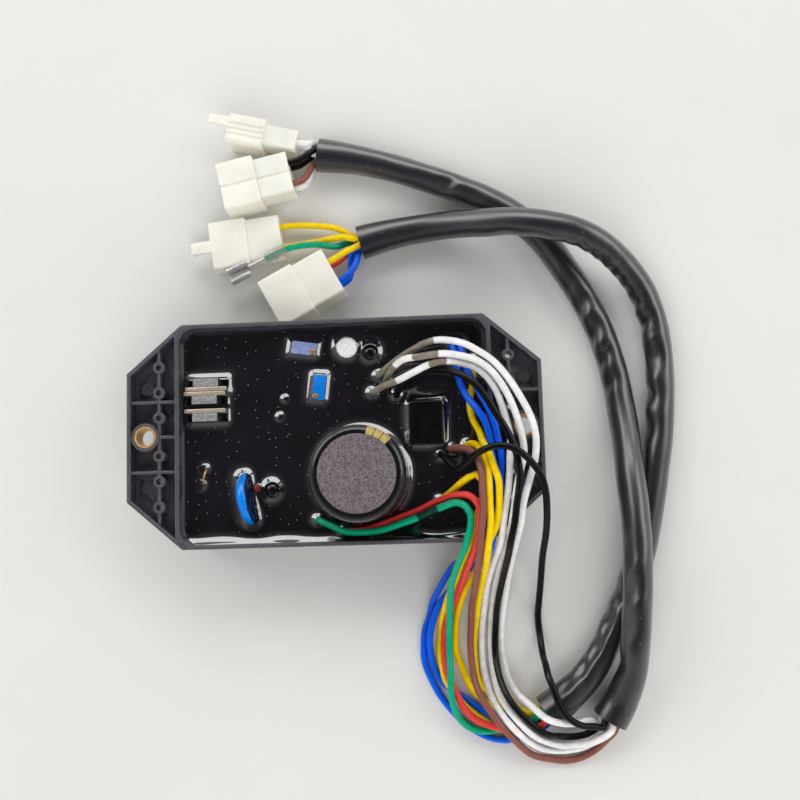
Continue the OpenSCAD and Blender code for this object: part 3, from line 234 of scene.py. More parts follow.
ROUTE_BLUE_2 = (
    (47.5, 32, 24.5), (49, 28, 26), (50, 22.5, 27), (52.5, 16.5, 31), (55.5, 10.5, 33.5), (58, 5.5, 34),
    (59.5, 1, 34), (60.5, -4.5, 34), (61.5, -11, 34), (61, -18, 34), (60.5, -25.5, 34), (59, -33, 34),
    (57.5, -39, 34), (56.5, -43.5, 34), (55, -46.5, 28.5), (51.5, -50.5, 19), (45.5, -54.5, 12.5),
    (40.5, -61.5, 6.5), (36.5, -66.5, 5.5), (34, -72.5, 4.5), (32.5, -79, 4), (32.5, -84.5, 3),
    (34, -91, 1.5), (37, -96.5, 1.5), (42, -100.5, 1.5), (47, -104, 1.5), (51.5, -107, 1.5),
    (56.5, -109.5, 1.5), (62, -110.5, 2.5),
)
ROUTE_YELLOW_1 = (
    (38, -27, 24.5), (43, -23.5, 29), (46.5, -20.5, 32), (49.5, -18.5, 33.5), (52, -17.5, 34),
    (54, -19.5, 34), (54.5, -22.5, 34), (54, -27, 34), (52.5, -31, 34), (51, -36, 34), (49, -43, 34),
    (48, -45, 31.5), (46, -49.5, 25.5), (43.5, -56, 18.5), (40.5, -62.5, 12), (38.5, -68.5, 6.5),
    (37, -74, 3), (36.5, -79, 1.5), (36, -85, 1.5), (37, -90.5, 3.5), (38, -95, 4.5), (40.5, -99, 4.5),
    (42.5, -102, 4), (46.5, -106.5, 3.5), (52, -111, 2), (57.5, -114, 1.5), (63.5, -114.5, 2),
)
ROUTE_YELLOW_2 = (
    (49, -6.5, 24.5), (51, -6, 28), (53, -7, 31), (55, -10, 33.5), (56, -14, 36), (56.5, -19, 38),
    (56.5, -27, 39.5), (56.5, -34.5, 40.5), (55.5, -42, 41), (55, -45.5, 40), (54.5, -50, 33.5),
    (53, -57.5, 20.5), (51.5, -66, 9), (50.5, -73.5, 2.5), (49.5, -80.5, 1.5), (49.5, -88.5, 1.5),
    (50.5, -95, 1.5), (53.5, -99.5, 1.5), (57.5, -103, 2.5), (62.5, -104.5, 5.5),
)
ROUTE_YELLOW_3 = (
    (52.5, 25, 24.5), (52.5, 20, 25), (52, 15.5, 25), (51, 11.5, 25), (51, 7, 25), (52, 2.5, 27.5),
    (54, -2, 31.5), (55, -6, 35), (57, -10, 37.5), (58.5, -15, 38), (60, -20, 38), (60, -25.5, 38),
    (59.5, -31.5, 38), (58, -37, 38), (55.5, -42, 37.5), (54, -45.5, 35), (52.5, -49, 28),
    (49.5, -55.5, 18.5), (46, -62.5, 9.5), (43.5, -70, 4), (42.5, -77.5, 2), (42.5, -85, 2), (45, -92, 2.5),
    (48, -99, 2), (52.5, -103.5, 2), (57.5, -106, 2), (63, -106.5, 2),
)
ROUTE_RED = (
    (2.5, -37, 24.5), (8.5, -37, 25), (16, -35, 25.5), (23.5, -32.5, 26), (29.5, -30.5, 27),
    (35, -28, 28.5), (40, -26, 30.5), (44.5, -25, 33.5), (49, -25, 36), (51.5, -27, 37), (53, -30.5, 37.5),
    (52.5, -34.5, 38), (52, -39.5, 38.5), (51, -43.5, 37.5), (49, -48.5, 31), (47, -53.5, 24.5),
    (44, -61.5, 15), (41, -68.5, 9), (38.5, -75.5, 5), (38, -84, 4.5), (38.5, -91.5, 6.5), (40, -95.5, 7.5),
    (42, -99.5, 7.5), (44.5, -105, 7), (49, -109.5, 7), (55.5, -112, 8), (61.5, -113.5, 8.5),
)
ROUTE_GREEN = (
    (-7, -32.5, 24.5), (-1.5, -35, 26), (3, -37, 27.5), (8, -37.5, 28), (16, -37, 28), (24.5, -34.5, 28.5),
    (30.5, -32.5, 29.5), (35, -30.5, 31), (39.5, -29, 33), (44.5, -27.5, 35.5), (48, -29, 37.5),
    (49.5, -31.5, 38), (49.5, -35.5, 38.5), (48.5, -39.5, 38.5), (47, -44, 37), (45, -48.5, 31.5),
    (43, -53.5, 26), (41.5, -58.5, 21), (41, -64, 16.5), (40.5, -70.5, 11), (40, -78.5, 8.5),
    (40, -85, 8.5), (40, -93.5, 11), (40.5, -102.5, 9.5), (43, -109.5, 6), (47.5, -113.5, 4.5),
    (52.5, -114.5, 4.5), (57, -114, 4.5), (61.5, -111.5, 5.5),
)
TAIL_WHITE_1 = ((-8.9, 119.2, 8.8),)
TAIL_WHITE_3 = ((-8.3, 115.4, 6), (-9.7, 116.4, 5.2))
TAIL_BLACK_2 = ((-8.3, 116, 1.9), (-11, 114.2, 3.4))
TAIL_BLUE_1 = ((8.3, 69, 9.5),)
TAIL_BLUE_2 = ((6, 74, 5.2), (5.5, 69, 4))
TAIL_YELLOW_1 = ((5, 73.5, 10.5),)
TAIL_YELLOW_2 = ((0, 84.3, 5),)
TAIL_YELLOW_3 = ((3, 79.8, 8), (-8, 79, 5))
TAIL_RED = ((5, 75, 2),)
TAIL_GREEN = ((4.5, 78.5, 3.5), (0, 76.3, 6.5), (-8, 76.5, 10.5))

# Connectors and the loose terminal, in millimetres and degrees
CONNECTORS = (
    # x, y of the rear face, pointing direction, columns, rows
    (-14.3, 118.9, 166, 1, 2),
    (-17.3, 106.4, -168, 2, 2),
    (-22.4, 81.6, -173, 2, 1),
    (-0.8, 65.2, -152, 2, 2),
)
CELL_PITCH = 8.6
ROW_PITCH = 6.5
SHELL = 1.2
LEAD_IN = 4.0
CRIMP_X = 4.0
SPADE = ((-28, 71.4, 10.4), -155)
SPADE_COVER = 9.0

# Wires and sleeves, in millimetres and degrees
WIRE_D = 2.6
WIRE_SIDES = 14
WIRE_STEP = 2.0
WIRE_DIP = 1.0
SLEEVE_D = 12.0
SLEEVE_WALL = 0.8
THINNEST_WALL = 0.2
SLEEVE_SIDES = 56
SLEEVE_STEP = 0.9
MOUTH_FADE = 1.5
LUMP = 0.18
LUMP_LENGTH = 11.0
LUMPS_AROUND = 1.3
LANE_R = 3.3
LANE_TWIST = 180
LANE_SQUEEZE = 0.55
WIRES = {
    # name: colour, route, sleeve, lane angle (None runs in the middle), loose end, (connector, column, row)
    "wire_white_1": ("white", ROUTE_WHITE_1, "a", 180, TAIL_WHITE_1, (0, 0, 1)),
    "wire_white_2": ("white", ROUTE_WHITE_2, "a", 60, (), (1, 1, 0)),
    "wire_white_3": ("white", ROUTE_WHITE_3, "a", None, TAIL_WHITE_3, (0, 0, 0)),
    "wire_black_1": ("black", ROUTE_BLACK_1, "a", 240, (), (1, 0, 1)),
    "wire_black_2": ("black", ROUTE_BLACK_2, "a", 120, TAIL_BLACK_2, (1, 0, 0)),
    "wire_brown": ("brown", ROUTE_BROWN, "a", 0, (), (1, 1, 1)),
    "wire_blue_1": ("blue", ROUTE_BLUE_1, "b", 0, TAIL_BLUE_1, (3, 1, 1)),
    "wire_blue_2": ("blue", ROUTE_BLUE_2, "b", None, TAIL_BLUE_2, (3, 1, 0)),
    "wire_yellow_1": ("yellow", ROUTE_YELLOW_1, "b", 300, TAIL_YELLOW_1, (3, 0, 1)),
    "wire_yellow_2": ("yellow", ROUTE_YELLOW_2, "b", 180, TAIL_YELLOW_2, (2, 0, 0)),
    "wire_yellow_3": ("yellow", ROUTE_YELLOW_3, "b", 240, TAIL_YELLOW_3, (2, 1, 0)),
    "wire_red": ("red", ROUTE_RED, "b", 60, TAIL_RED, (3, 0, 0)),
    "wire_green": ("green", ROUTE_GREEN, "b", 120, TAIL_GREEN, None),
}
WIRE_FEET = tuple((route[0][0], route[0][1], WIRE_D / 2) for _, route, *_ in WIRES.values())
STAINS = {
    # start and end of each stained stretch, from the resin along the wire
    "wire_white_1": ((-30, 28),),
    "wire_white_2": ((-30, 11), (19, 29)),
    "wire_white_3": ((-30, 14), (28, 34.5)),
    "wire_green": ((41, 50),),
}
DEEPEST_CREASE = 1.4
CREASE_FADE = 6
CREASES = {
    # along the sleeve, angle about it, depth, half length, half angle in degrees, slant over 90 degrees
    "sleeve_a": (
        (95, 138, 0.55, 45, 32, 0), (24, 175, 1.4, 5, 45, 0), (33, 120, -0.45, 3.5, 45, 6),
        (41, 132, 1.2, 5.5, 42, -3), (47.5, 110, -0.4, 2.5, 45, -5), (54, 132, 1.1, 5.5, 42, -3),
        (61, 120, -0.35, 3, 40, -6), (68, 150, 0.6, 6, 40, 0), (134, 135, 1.1, 3.6, 45, -4),
        (144, 132, 1.4, 3.8, 48, -4), (149.5, 125, -0.35, 1.8, 45, -4), (155.5, 128, 1.4, 3.8, 48, -4),
        (162, 125, -0.35, 1.8, 45, -4), (167.5, 120, 1.3, 3.6, 45, -4), (176, 130, 0.6, 4, 40, -3),
        (205, 140, 0.4, 22, 30, 0), (232, 125, 0.8, 5, 45, 2), (238.5, 100, -0.35, 2, 35, 3),
        (243.5, 112, 1.1, 3.5, 40, 3), (252, 125, 0.6, 5, 45, 0),
    ),
    "sleeve_b": (
        (30, 130, 0.8, 26, 20, 0), (30, 102, -0.35, 26, 12, 0), (14, 150, 0.7, 3, 40, 6),
        (23, 142, 0.9, 2.6, 45, 8), (33.5, 150, 1.1, 3.4, 45, 5), (43.5, 150, 1.2, 3.2, 50, 4),
        (49.5, 140, -0.4, 2, 45, 4), (54.5, 152, 1.2, 3.4, 50, 2), (60, 145, -0.3, 2, 40, 2),
        (66, 155, 0.9, 5, 45, 0), (84, 160, 0.45, 7, 40, 0), (119.5, 165, 1.4, 4.5, 45, 0),
        (126.5, 150, -0.4, 3, 40, 0), (133.5, 168, 1.4, 3.2, 45, 2), (140, 115, -0.35, 3, 25, 0),
        (147.5, 128, 1.4, 4.8, 45, -2), (155, 120, -0.4, 2, 50, -3), (162.5, 155, 1.4, 3, 50, -3),
        (167.5, 150, -0.35, 1.6, 40, -2), (172, 165, 1.1, 2.4, 42, -2), (179, 168, 0.9, 2.2, 42, -1),
        (185, 170, 1, 2, 40, -1), (190.5, 170, 0.9, 2, 40, -1), (196.5, 165, 1.15, 2, 42, -2),
        (202, 168, 0.9, 2, 40, -1), (208.5, 168, 0.9, 2.2, 40, -1), (215, 172, 0.55, 3, 40, 0),
        (226, 172, 0.45, 4, 40, 0), (238, 172, 0.55, 5, 40, 0),
    ),
}

# Rounding of edges: tries, weld distances in metres, angles in degrees, the normals' product below which
# a face is turned over, and the distance in radii within which an edge is crowded
ROUNDING_TRIES = 6
WELD = 2e-6
TURNED_WELD = 1e-7
FLAT_ANGLE = 0.5
SHARP_ANGLE = 25
CREST_ANGLE = 40
SEAM_ANGLE = 50
TURNED_OVER = -0.3
CROWDED = 1.5

# Normals of faces that look up or to the right, and the band under a piece's highest point that counts
# as its top, in metres
# Faces picked by these take painted light on tops and painted shade on the varistor's right side.
FACING_UP = 0.9
FACING_RIGHT = 0.5
TOO_LEVEL = 0.85
TOP_BAND = 0.0005


def smooth_line(points, step):
    """A smooth line through points (centripetal), with a point about every step."""
    pts = [Vector(p) for p in points]
    pts = [2 * pts[0] - pts[1], *pts, 2 * pts[-1] - pts[-2]]
    line = []
    for i in range(1, len(pts) - 2):
        p = pts[i - 1 : i + 3]
        t = [0.0]
        for a, b in zip(p, p[1:]):
            t.append(t[-1] + max((b - a).length, 1e-9) ** 0.5)
        count = max(1, round((p[2] - p[1]).length / step))
        for k in range(count):
            u = t[1] + (t[2] - t[1]) * k / count
            a1 = p[0].lerp(p[1], (u - t[0]) / (t[1] - t[0]))
            a2 = p[1].lerp(p[2], (u - t[1]) / (t[2] - t[1]))
            a3 = p[2].lerp(p[3], (u - t[2]) / (t[3] - t[2]))
            b1 = a1.lerp(a2, (u - t[0]) / (t[2] - t[0]))
            b2 = a2.lerp(a3, (u - t[1]) / (t[3] - t[1]))
            line.append(b1.lerp(b2, (u - t[1]) / (t[2] - t[1])))
    line.append(pts[-2])
    return line


def headings(line):
    """Direction of the line at each of its points."""
    out = []
    last = len(line) - 1
    for i in range(len(line)):
        before = (line[i] - line[i - 1]).normalized() if i > 0 else Vector()
        after = (line[i + 1] - line[i]).normalized() if i < last else Vector()
        out.append((before + after).normalized())
    return out


def run_length(line):
    """Distance along the line at each of its points."""
    out = [0.0]
    for a, b in zip(line, line[1:]):
        out.append(out[-1] + (b - a).length)
    return out


def quads(rows, columns, first=0, closed=False, flip=False):
    """Faces of a grid of points that follow row by row, open or closed across its columns."""
    faces = []
    for i in range(rows - 1):
        for k in range(columns if closed else columns - 1):
            n = (k + 1) % columns
            face = (i * columns + k, i * columns + n, (i + 1) * columns + n, (i + 1) * columns + k)
            faces.append(tuple(first + v for v in (face[::-1] if flip else face)))
    return faces


def grid_rim(rows, columns):
    """Points around the rim of such a grid, in order."""
    last = rows - 1
    rim = list(range(columns))
    rim += [j * columns + columns - 1 for j in range(1, rows)]
    rim += [last * columns + i for i in range(columns - 2, -1, -1)]
    rim += [j * columns for j in range(last - 1, 0, -1)]
    return rim


def as_piece(name, mesh, material, body=BODY):
    """Puts a mesh into the scene as a piece that rides on a body and takes the given finish."""
    piece = bpy.data.objects.new(name, mesh)
    bpy.context.collection.objects.link(piece)
    mesh.materials.clear()
    mesh.materials.append(material)
    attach(piece, body)
    return piece


def mesh_piece(name, verts, faces, material):
    """A new smooth-shaded piece."""
    mesh = bpy.data.meshes.new(name)
    mesh.from_pydata([tuple(v) for v in verts], [], faces)
    mesh.validate()
    mesh.shade_smooth()
    return as_piece(name, mesh, material)


def closed_up(mesh, weld=0.0):
    """Joins points that meet, turns all faces outwards and keeps the seams sharp."""
    bm = bmesh.new()
    bm.from_mesh(mesh)
    if weld:
        bmesh.ops.remove_doubles(bm, verts=bm.verts, dist=weld)
    bmesh.ops.recalc_face_normals(bm, faces=bm.faces)
    bm.to_mesh(mesh)
    bm.free()
    mesh.shade_smooth()
    mesh.set_sharp_from_angle(angle=math.radians(SEAM_ANGLE))


def strayed(bm, surface, radius):
    """Places where rounding has thrown a vertex off the surface or turned a face over."""
    places = [vert.co.copy() for vert in bm.verts if surface.find_nearest(vert.co)[3] > radius]
    for face in bm.faces:
        normal = surface.find_nearest(face.calc_center_median())[1]
        if face.normal.dot(normal) < TURNED_OVER:
            places.extend(vert.co.copy() for vert in face.verts)
    return places


def passes(ends, places, distance):
    """Whether an edge comes closer to one of the places than a distance."""
    a, b = ends
    for place in places:
        share = intersect_point_line(place, a, b)[1]
        if (a.lerp(b, min(max(share, 0.0), 1.0)) - place).length < distance:
            return True
    return False


def rounded(source, radius, segments, clamp):
    """A copy of a mesh with its outer edges rounded, and the faces of the rounding.

    Edges stay sharp where their rounding would run into something else.
    """
    surface = BVHTree.FromBMesh(source)
    least = math.radians(SHARP_ANGLE)
    kept = set()
    for _ in range(ROUNDING_TRIES):
        bm = source.copy()
        bm.edges.index_update()
        outer = [e for e in bm.edges if e.is_convex and e.calc_face_angle(0) > least and e.index not in kept]
        tried = [(e.index, [vert.co.copy() for vert in e.verts]) for e in outer]
        made = bmesh.ops.bevel(
            bm, geom=outer, offset=radius, segments=segments, profile=0.5, affect="EDGES", clamp_overlap=clamp
        )
        bm.normal_update()
        places = strayed(bm, surface, radius)
        if not places:
            return bm, set(made["faces"])
        kept.update(index for index, ends in tried if passes(ends, places, CROWDED * radius))
        bm.free()
    raise RuntimeError("The edges can't be rounded by this radius")


def softened(node, radius, material, body=BODY, segments=2, clamp=False, marked=None):
    """A CAD node's own shape with its outer edges rounded, in place of the node.

    The faces that marked picks, or else those on top, take the finish's top tone, which paints light on tops
    and shade on the varistor's right side.
    """
    source = bmesh.new()
    source.from_mesh(NODES[node].data)
    for name in ("edge", "upward"):
        source.faces.layers.float.new(name)
    bmesh.ops.remove_doubles(source, verts=source.verts, dist=WELD)
    bmesh.ops.dissolve_limit(
        source, angle_limit=math.radians(FLAT_ANGLE), verts=source.verts, edges=source.edges
    )
    source.normal_update()
    bm, edge_faces = rounded(source, radius, segments, clamp)
    source.free()
    edge, upward = (bm.faces.layers.float[name] for name in ("edge", "upward"))
    top = max(vert.co.z for vert in bm.verts) - TOP_BAND
    for face in bm.faces:
        on_top = face.normal.z > FACING_UP and face.calc_center_median().z > top
        face[edge] = float(face in edge_faces)
        # Marks the faces that take the painted light and painted shade of the top tone.
        face[upward] = float(marked(face.normal) if marked else on_top)
        face.smooth = True
    mesh = bpy.data.meshes.new(f"{node}_soft")
    bm.to_mesh(mesh)
    bm.free()
    mesh.set_sharp_from_angle(angle=math.radians(CREST_ANGLE))
    piece = as_piece(f"{node}_soft", mesh, material, body)
    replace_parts(piece, node)


# Finishes

# Colour sockets of a Mix node
MIX_A, MIX_B, MIX_RESULT = 6, 7, 2
DUST = (0.72, 0.71, 0.7)
SPECKLE = 2200.0

# Stained stretches of wires, in metres
STAIN_NOISE = 500.0
STAIN_RAGGED = 0.0009
STAIN_EDGE = 0.0003


def linear(colour):
    """A displayed colour as the light values that shaders use."""
    return tuple(c / 12.92 if c <= 0.04045 else ((c + 0.055) / 1.055) ** 2.4 for c in colour[:3]) + (1.0,)


def toned(colour, share):
    """A darker or paler tone of a colour."""
    return [share * c for c in colour]


def add(tree, kind, **values):
    """A node with its settings and the values of its inputs."""
    node = tree.nodes.new(kind)
    for key, value in values.items():
        if hasattr(node, key):
            setattr(node, key, value)
        else:
            node.inputs[key.replace("_", " ")].default_value = value
    return node


def join(tree, *links):
    """Joins nodes, each link as (node, output, node, input)."""
    for source, output, target, entry in links:
        tree.links.new(source.outputs[output], target.inputs[entry])


def node_group(name, inputs, output, kind):
    """An empty shader node group with named inputs and one output."""
    tree = bpy.data.node_groups.new(name, "ShaderNodeTree")
    for label, value in inputs.items():
        socket = "NodeSocketFloat" if isinstance(value, float) else "NodeSocketColor"
        tree.interface.new_socket(label, in_out="INPUT", socket_type=socket).default_value = value
    tree.interface.new_socket(output, in_out="OUTPUT", socket_type=kind)
    return tree, tree.nodes.new("NodeGroupInput"), tree.nodes.new("NodeGroupOutput")


def grain_group():
    """Fine grain of a surface, as a mask about one half."""
    tree, given, out = node_group("Surface grain", {"Scale": 2000.0}, "Mask", "NodeSocketFloat")
    place = add(tree, "ShaderNodeTexCoord")
    cells = add(tree, "ShaderNodeTexNoise", Detail=4.0, Roughness=0.6)
    join(
        tree,
        (place, "Object", cells, "Vector"),
        (given, "Scale", cells, "Scale"),
        (cells, "Fac", out, "Mask"),
    )
    return tree


def tone_group():
    """Two tones of a colour that drift over the surface."""
    inputs = {"Main": (0.5, 0.5, 0.5, 1.0), "Second": (0.4, 0.4, 0.4, 1.0), "Scale": 200.0}
    tree, given, out = node_group("Drifting tone", inputs, "Color", "NodeSocketColor")
    place = add(tree, "ShaderNodeTexCoord")
    clouds = add(tree, "ShaderNodeTexNoise", Detail=5.0, Roughness=0.65)
    spread = add(tree, "ShaderNodeMapRange", From_Min=0.35, From_Max=0.68)
    mix = add(tree, "ShaderNodeMix", data_type="RGBA")
    join(
        tree,
        (place, "Object", clouds, "Vector"),
        (given, "Scale", clouds, "Scale"),
        (clouds, "Fac", spread, "Value"),
        (spread, "Result", mix, "Factor"),
        (given, "Main", mix, MIX_A),
        (given, "Second", mix, MIX_B),
        (mix, MIX_RESULT, out, "Color"),
    )
    return tree


def speck_group():
    """Scattered dust specks."""
    inputs = {"Scale": 150.0, "Size": 0.05, "Share": 0.3}
    tree, given, out = node_group("Dust specks", inputs, "Mask", "NodeSocketFloat")
    place = add(tree, "ShaderNodeTexCoord")
    cells = add(tree, "ShaderNodeTexVoronoi", voronoi_dimensions="2D")
    near = add(tree, "ShaderNodeMath", operation="LESS_THAN")
    chosen = add(tree, "ShaderNodeMath", operation="LESS_THAN")
    both = add(tree, "ShaderNodeMath", operation="MULTIPLY")
    split = add(tree, "ShaderNodeSeparateColor")
    join(
        tree,
        (place, "Object", cells, "Vector"),
        (given, "Scale", cells, "Scale"),
        (cells, "Distance", near, 0),
        (given, "Size", near, 1),
        (cells, "Color", split, "Color"),
        (split, "Red", chosen, 0),
        (given, "Share", chosen, 1),
        (near, 0, both, 0),
        (chosen, 0, both, 1),
        (both, 0, out, "Mask"),
    )
    return tree


def wear_and_highlight_group():
    """Rubbed edges, broken up by a coarse noise; their pale tone is partly a painted highlight."""
    inputs = {"Scale": 400.0, "Amount": 0.6}
    tree, given, out = node_group("Edge wear", inputs, "Mask", "NodeSocketFloat")
    edge = add(tree, "ShaderNodeAttribute", attribute_name="edge")
    place = add(tree, "ShaderNodeTexCoord")
    patches = add(tree, "ShaderNodeTexNoise", Detail=3.0)
    spread = add(tree, "ShaderNodeMapRange", From_Min=0.35, From_Max=0.65, To_Min=0.35, To_Max=1.0)
    onto = add(tree, "ShaderNodeMath", operation="MULTIPLY")
    level = add(tree, "ShaderNodeMath", operation="MULTIPLY")
    join(
        tree,
        (place, "Object", patches, "Vector"),
        (given, "Scale", patches, "Scale"),
        (patches, "Fac", spread, "Value"),
        (edge, "Fac", onto, 0),
        (spread, "Result", onto, 1),
        (onto, 0, level, 0),
        (given, "Amount", level, 1),
        (level, 0, out, "Mask"),
    )
    return tree


GROUP_MAKERS = {"grain": grain_group, "tone": tone_group, "specks": speck_group, "wear": wear_and_highlight_group}
GROUPS = {}


def placed_group(tree, kind, **values):
    """A shared effect, built once, in a material with its own values."""
    if kind not in GROUPS:
        GROUPS[kind] = GROUP_MAKERS[kind]()
    node = tree.nodes.new("ShaderNodeGroup")
    node.node_tree = GROUPS[kind]
    for key, value in values.items():
        node.inputs[key].default_value = value
    return node


def tones(tree, main, second, scale):
    """The colour socket of two drifting tones."""
    group = placed_group(tree, "tone", Main=linear(main), Second=linear(second), Scale=scale)
    return group.outputs["Color"]


def mixed(tree, mask, first, second):
    """First colour socket, overlaid by a second socket or plain colour where the mask is one."""
    mix = add(tree, "ShaderNodeMix", data_type="RGBA")
    tree.links.new(mask, mix.inputs["Factor"])
    tree.links.new(first, mix.inputs[MIX_A])
    if isinstance(second, bpy.types.NodeSocket):
        tree.links.new(second, mix.inputs[MIX_B])
    else:
        mix.inputs[MIX_B].default_value = linear(second)
    return mix.outputs[MIX_RESULT]


def finish(
    name, main, second, rough, tone=200.0, grain=3000.0, depth=0.00002,
    wear_and_highlight_tone=None, wear=0.6, top=None, dust=None, **shader,
):
    """A material with drifting tone, grain in gloss and relief, rubbed edges whose pale tone is partly a
    painted highlight, a top tone of painted light and painted shade on marked faces, and dust.
    """
    material = bpy.data.materials.new(name)
    material.use_nodes = True
    tree = material.node_tree
    principled = tree.nodes["Principled BSDF"]
    colour = tones(tree, main, second, tone)
    # Rubbed edges, whose pale tone is partly a painted highlight on the tray and wholly one on the device
    # tabs.
    if wear_and_highlight_tone:
        colour = mixed(tree, placed_group(tree, "wear", Amount=wear).outputs["Mask"], colour, wear_and_highlight_tone)
    # Marked faces take a second tone: painted light on the tops of the tray, tabs and device bodies, painted
    # shade on the varistor's right side.
    if top:
        speckle = tones(tree, *top, SPECKLE)
        upward = add(tree, "ShaderNodeAttribute", attribute_name="upward")
        colour = mixed(tree, upward.outputs["Fac"], colour, speckle)
    if dust:
        specks = placed_group(tree, "specks", Scale=dust[0], Size=dust[1], Share=dust[2])
        colour = mixed(tree, specks.outputs["Mask"], colour, DUST)
    tree.links.new(colour, principled.inputs["Base Color"])
    texture = placed_group(tree, "grain", Scale=grain)
    gloss = add(tree, "ShaderNodeMapRange", From_Min=0.3, From_Max=0.7, To_Min=rough[0], To_Max=rough[1])
    relief = add(tree, "ShaderNodeBump", Strength=1.0, Distance=depth)
    join(
        tree,
        (texture, "Mask", gloss, "Value"),
        (gloss, "Result", principled, "Roughness"),
        (texture, "Mask", relief, "Height"),
        (relief, "Normal", principled, "Normal"),
    )
    for key, value in shader.items():
        principled.inputs[key.replace("_", " ")].default_value = value
    return material


def ramp(tree, at, low, high):
    """A short change from low to high at one distance along a wire."""
    return add(
        tree,
        "ShaderNodeMapRange",
        From_Min=at - STAIN_EDGE,
        From_Max=at + STAIN_EDGE,
        To_Min=low,
        To_Max=high,
    )


def stained(material, stretches, stain):
    """Lays stained stretches over a wire's colour, each from start to end along it in millimetres."""
    tree = material.node_tree
    principled = tree.nodes["Principled BSDF"]
    colour = principled.inputs["Base Color"].links[0].from_socket
    along = add(tree, "ShaderNodeAttribute", attribute_name="along")
    place = add(tree, "ShaderNodeTexCoord")
    ragged = add(tree, "ShaderNodeTexNoise", Scale=STAIN_NOISE, Detail=3.0)
    shift = add(tree, "ShaderNodeMapRange", To_Min=-STAIN_RAGGED, To_Max=STAIN_RAGGED)
    total = add(tree, "ShaderNodeMath", operation="ADD")
    join(
        tree,
        (place, "Object", ragged, "Vector"),
        (ragged, "Fac", shift, "Value"),
        (along, "Fac", total, 0),
        (shift, "Result", total, 1),
    )
    for start, end in stretches:
        rise, fall = ramp(tree, start * MM, 0.0, 1.0), ramp(tree, end * MM, 1.0, 0.0)
        both = add(tree, "ShaderNodeMath", operation="MULTIPLY")
        patchy = add(tree, "ShaderNodeMapRange", From_Min=0.3, From_Max=0.6, To_Min=0.85, To_Max=1.0)
        level = add(tree, "ShaderNodeMath", operation="MULTIPLY")
        join(
            tree,
            (total, 0, rise, "Value"),
            (total, 0, fall, "Value"),
            (rise, "Result", both, 0),
            (fall, "Result", both, 1),
            (ragged, "Fac", patchy, "Value"),
            (both, 0, level, 0),
            (patchy, "Result", level, 1),
        )
        colour = mixed(tree, level.outputs[0], colour, stain)
    tree.links.new(colour, principled.inputs["Base Color"])


# Settings


def colour_setting(name, default, description):
    """A colour that a user may change."""
    return bpy.props.FloatVectorProperty(
        name=name, description=description, default=default, subtype="COLOR_GAMMA", size=3, min=0.0, max=1.0
    )


def length_setting(name, default, description):
    """A length that a user may change, in metres."""
    return bpy.props.FloatProperty(
        name=name, description=description, default=default, unit="LENGTH", min=0.0
    )


class TrayLook(bpy.types.PropertyGroup):
    """Tray and its fixing inserts."""

    edge: length_setting("Edge radius", 0.0004, "Rounding of the moulded edges")
    insert_edge: length_setting("Insert edge", 0.0001, "Rounding of the inserts")
    plastic: colour_setting("Plastic", (0.175, 0.168, 0.19), "Main tone of the moulding")
    # Rubbed edge tone: real wear on the moulded edges, with a painted highlight along them.
    wear_and_highlight_tone: colour_setting("Rubbed edge", (0.46, 0.447, 0.475), "Tone of the rubbed edges and of their painted highlight")
    # Faces that look up take a paler speckled tone: painted light over the moulding's speckle.
    top: colour_setting("Top", (0.37, 0.356, 0.384), "Pale tone of the faces that look up")
    top_dark: colour_setting("Top, dark", (0.2, 0.193, 0.212), "Dark tone of the faces that look up")
    brass: colour_setting("Brass", (0.92, 0.75, 0.5), "Colour of inserts and screws")


class ResinLook(bpy.types.PropertyGroup):
    """Potting resin."""

    rise: length_setting("Rise", 0.0018, "Height of the resin where it climbs a component")
    reach: length_setting("Reach", 0.0022, "Width of that climb")
    cell: length_setting("Cell", 0.00045, "Spacing of the surface's points")
    resin: colour_setting("Resin", (0.115, 0.104, 0.128), "Colour of the resin")


class PartLook(bpy.types.PropertyGroup):
    """Components that stand in the resin."""

    edge: length_setting("Edge radius", 0.0002, "Rounding of devices and trimmers")
    screw_edge: length_setting("Screw edge", 0.00008, "Rounding of the trimmer screws")
    block_edge: length_setting("Block edge", 0.0006, "Rounding of the rectifier block")
    varistor_edge: length_setting("Varistor edge", 0.00005, "Rounding of the varistor")
    film: colour_setting("Capacitor sleeve", (0.06, 0.056, 0.062), "Shrink sleeve of the main capacitor")
    disc: colour_setting("Capacitor disc", (0.55, 0.505, 0.53), "Disc on the main capacitor")
    mark: colour_setting("Mark", (0.74, 0.66, 0.38), "Plain polarity bars on the main capacitor")
    metal: colour_setting("Metal", (0.78, 0.77, 0.76), "Tinned metal")
    moulding: colour_setting("Moulding", (0.13, 0.125, 0.13), "Moulded device bodies")
    moulding_worn: colour_setting("Moulding edge", (0.5, 0.49, 0.5), "Rubbed edges of the device bodies")
    # Pale specks on the bodies' tops are a painted sheen over the moulding's grain.
    moulding_top_sheen: colour_setting("Moulding top sheen", (0.7, 0.69, 0.7), "Pale specks of painted sheen on the device bodies' tops")
    moulding_dark: colour_setting("Moulding, dark", (0.08, 0.075, 0.08), "Dark specks on the device bodies")
    # The tabs' pale top tone and near-white rubbed edge tone are painted highlights.
    cut: colour_setting("Device tab and highlight", (0.9, 0.83, 0.74), "Edges of the device tabs")
    tab_edge_highlight: colour_setting("Tab edge highlight", (1.0, 0.97, 0.92), "Rubbed edges of the device tabs")
    trimmer: colour_setting("Trimmer", (0.0, 0.5, 0.92), "Trimmer bodies")
    # The first trimmer's paler colour is a painted glare.
    glare: colour_setting("Pale trimmer", (0.56, 0.62, 0.82), "Faded top of the first trimmer")
    varistor: colour_setting("Varistor", (0.0, 0.55, 0.98), "Coating of the varistor")
    # The varistor's right side takes a painted shade in these two tones.
    varistor_shade: colour_setting("Varistor shade", (0.03, 0.16, 0.33), "Painted shade on the varistor's right side")
    varistor_shade_dark: colour_setting("Varistor shade, dark", (0.02, 0.1, 0.24), "Dark tone of that painted shade")


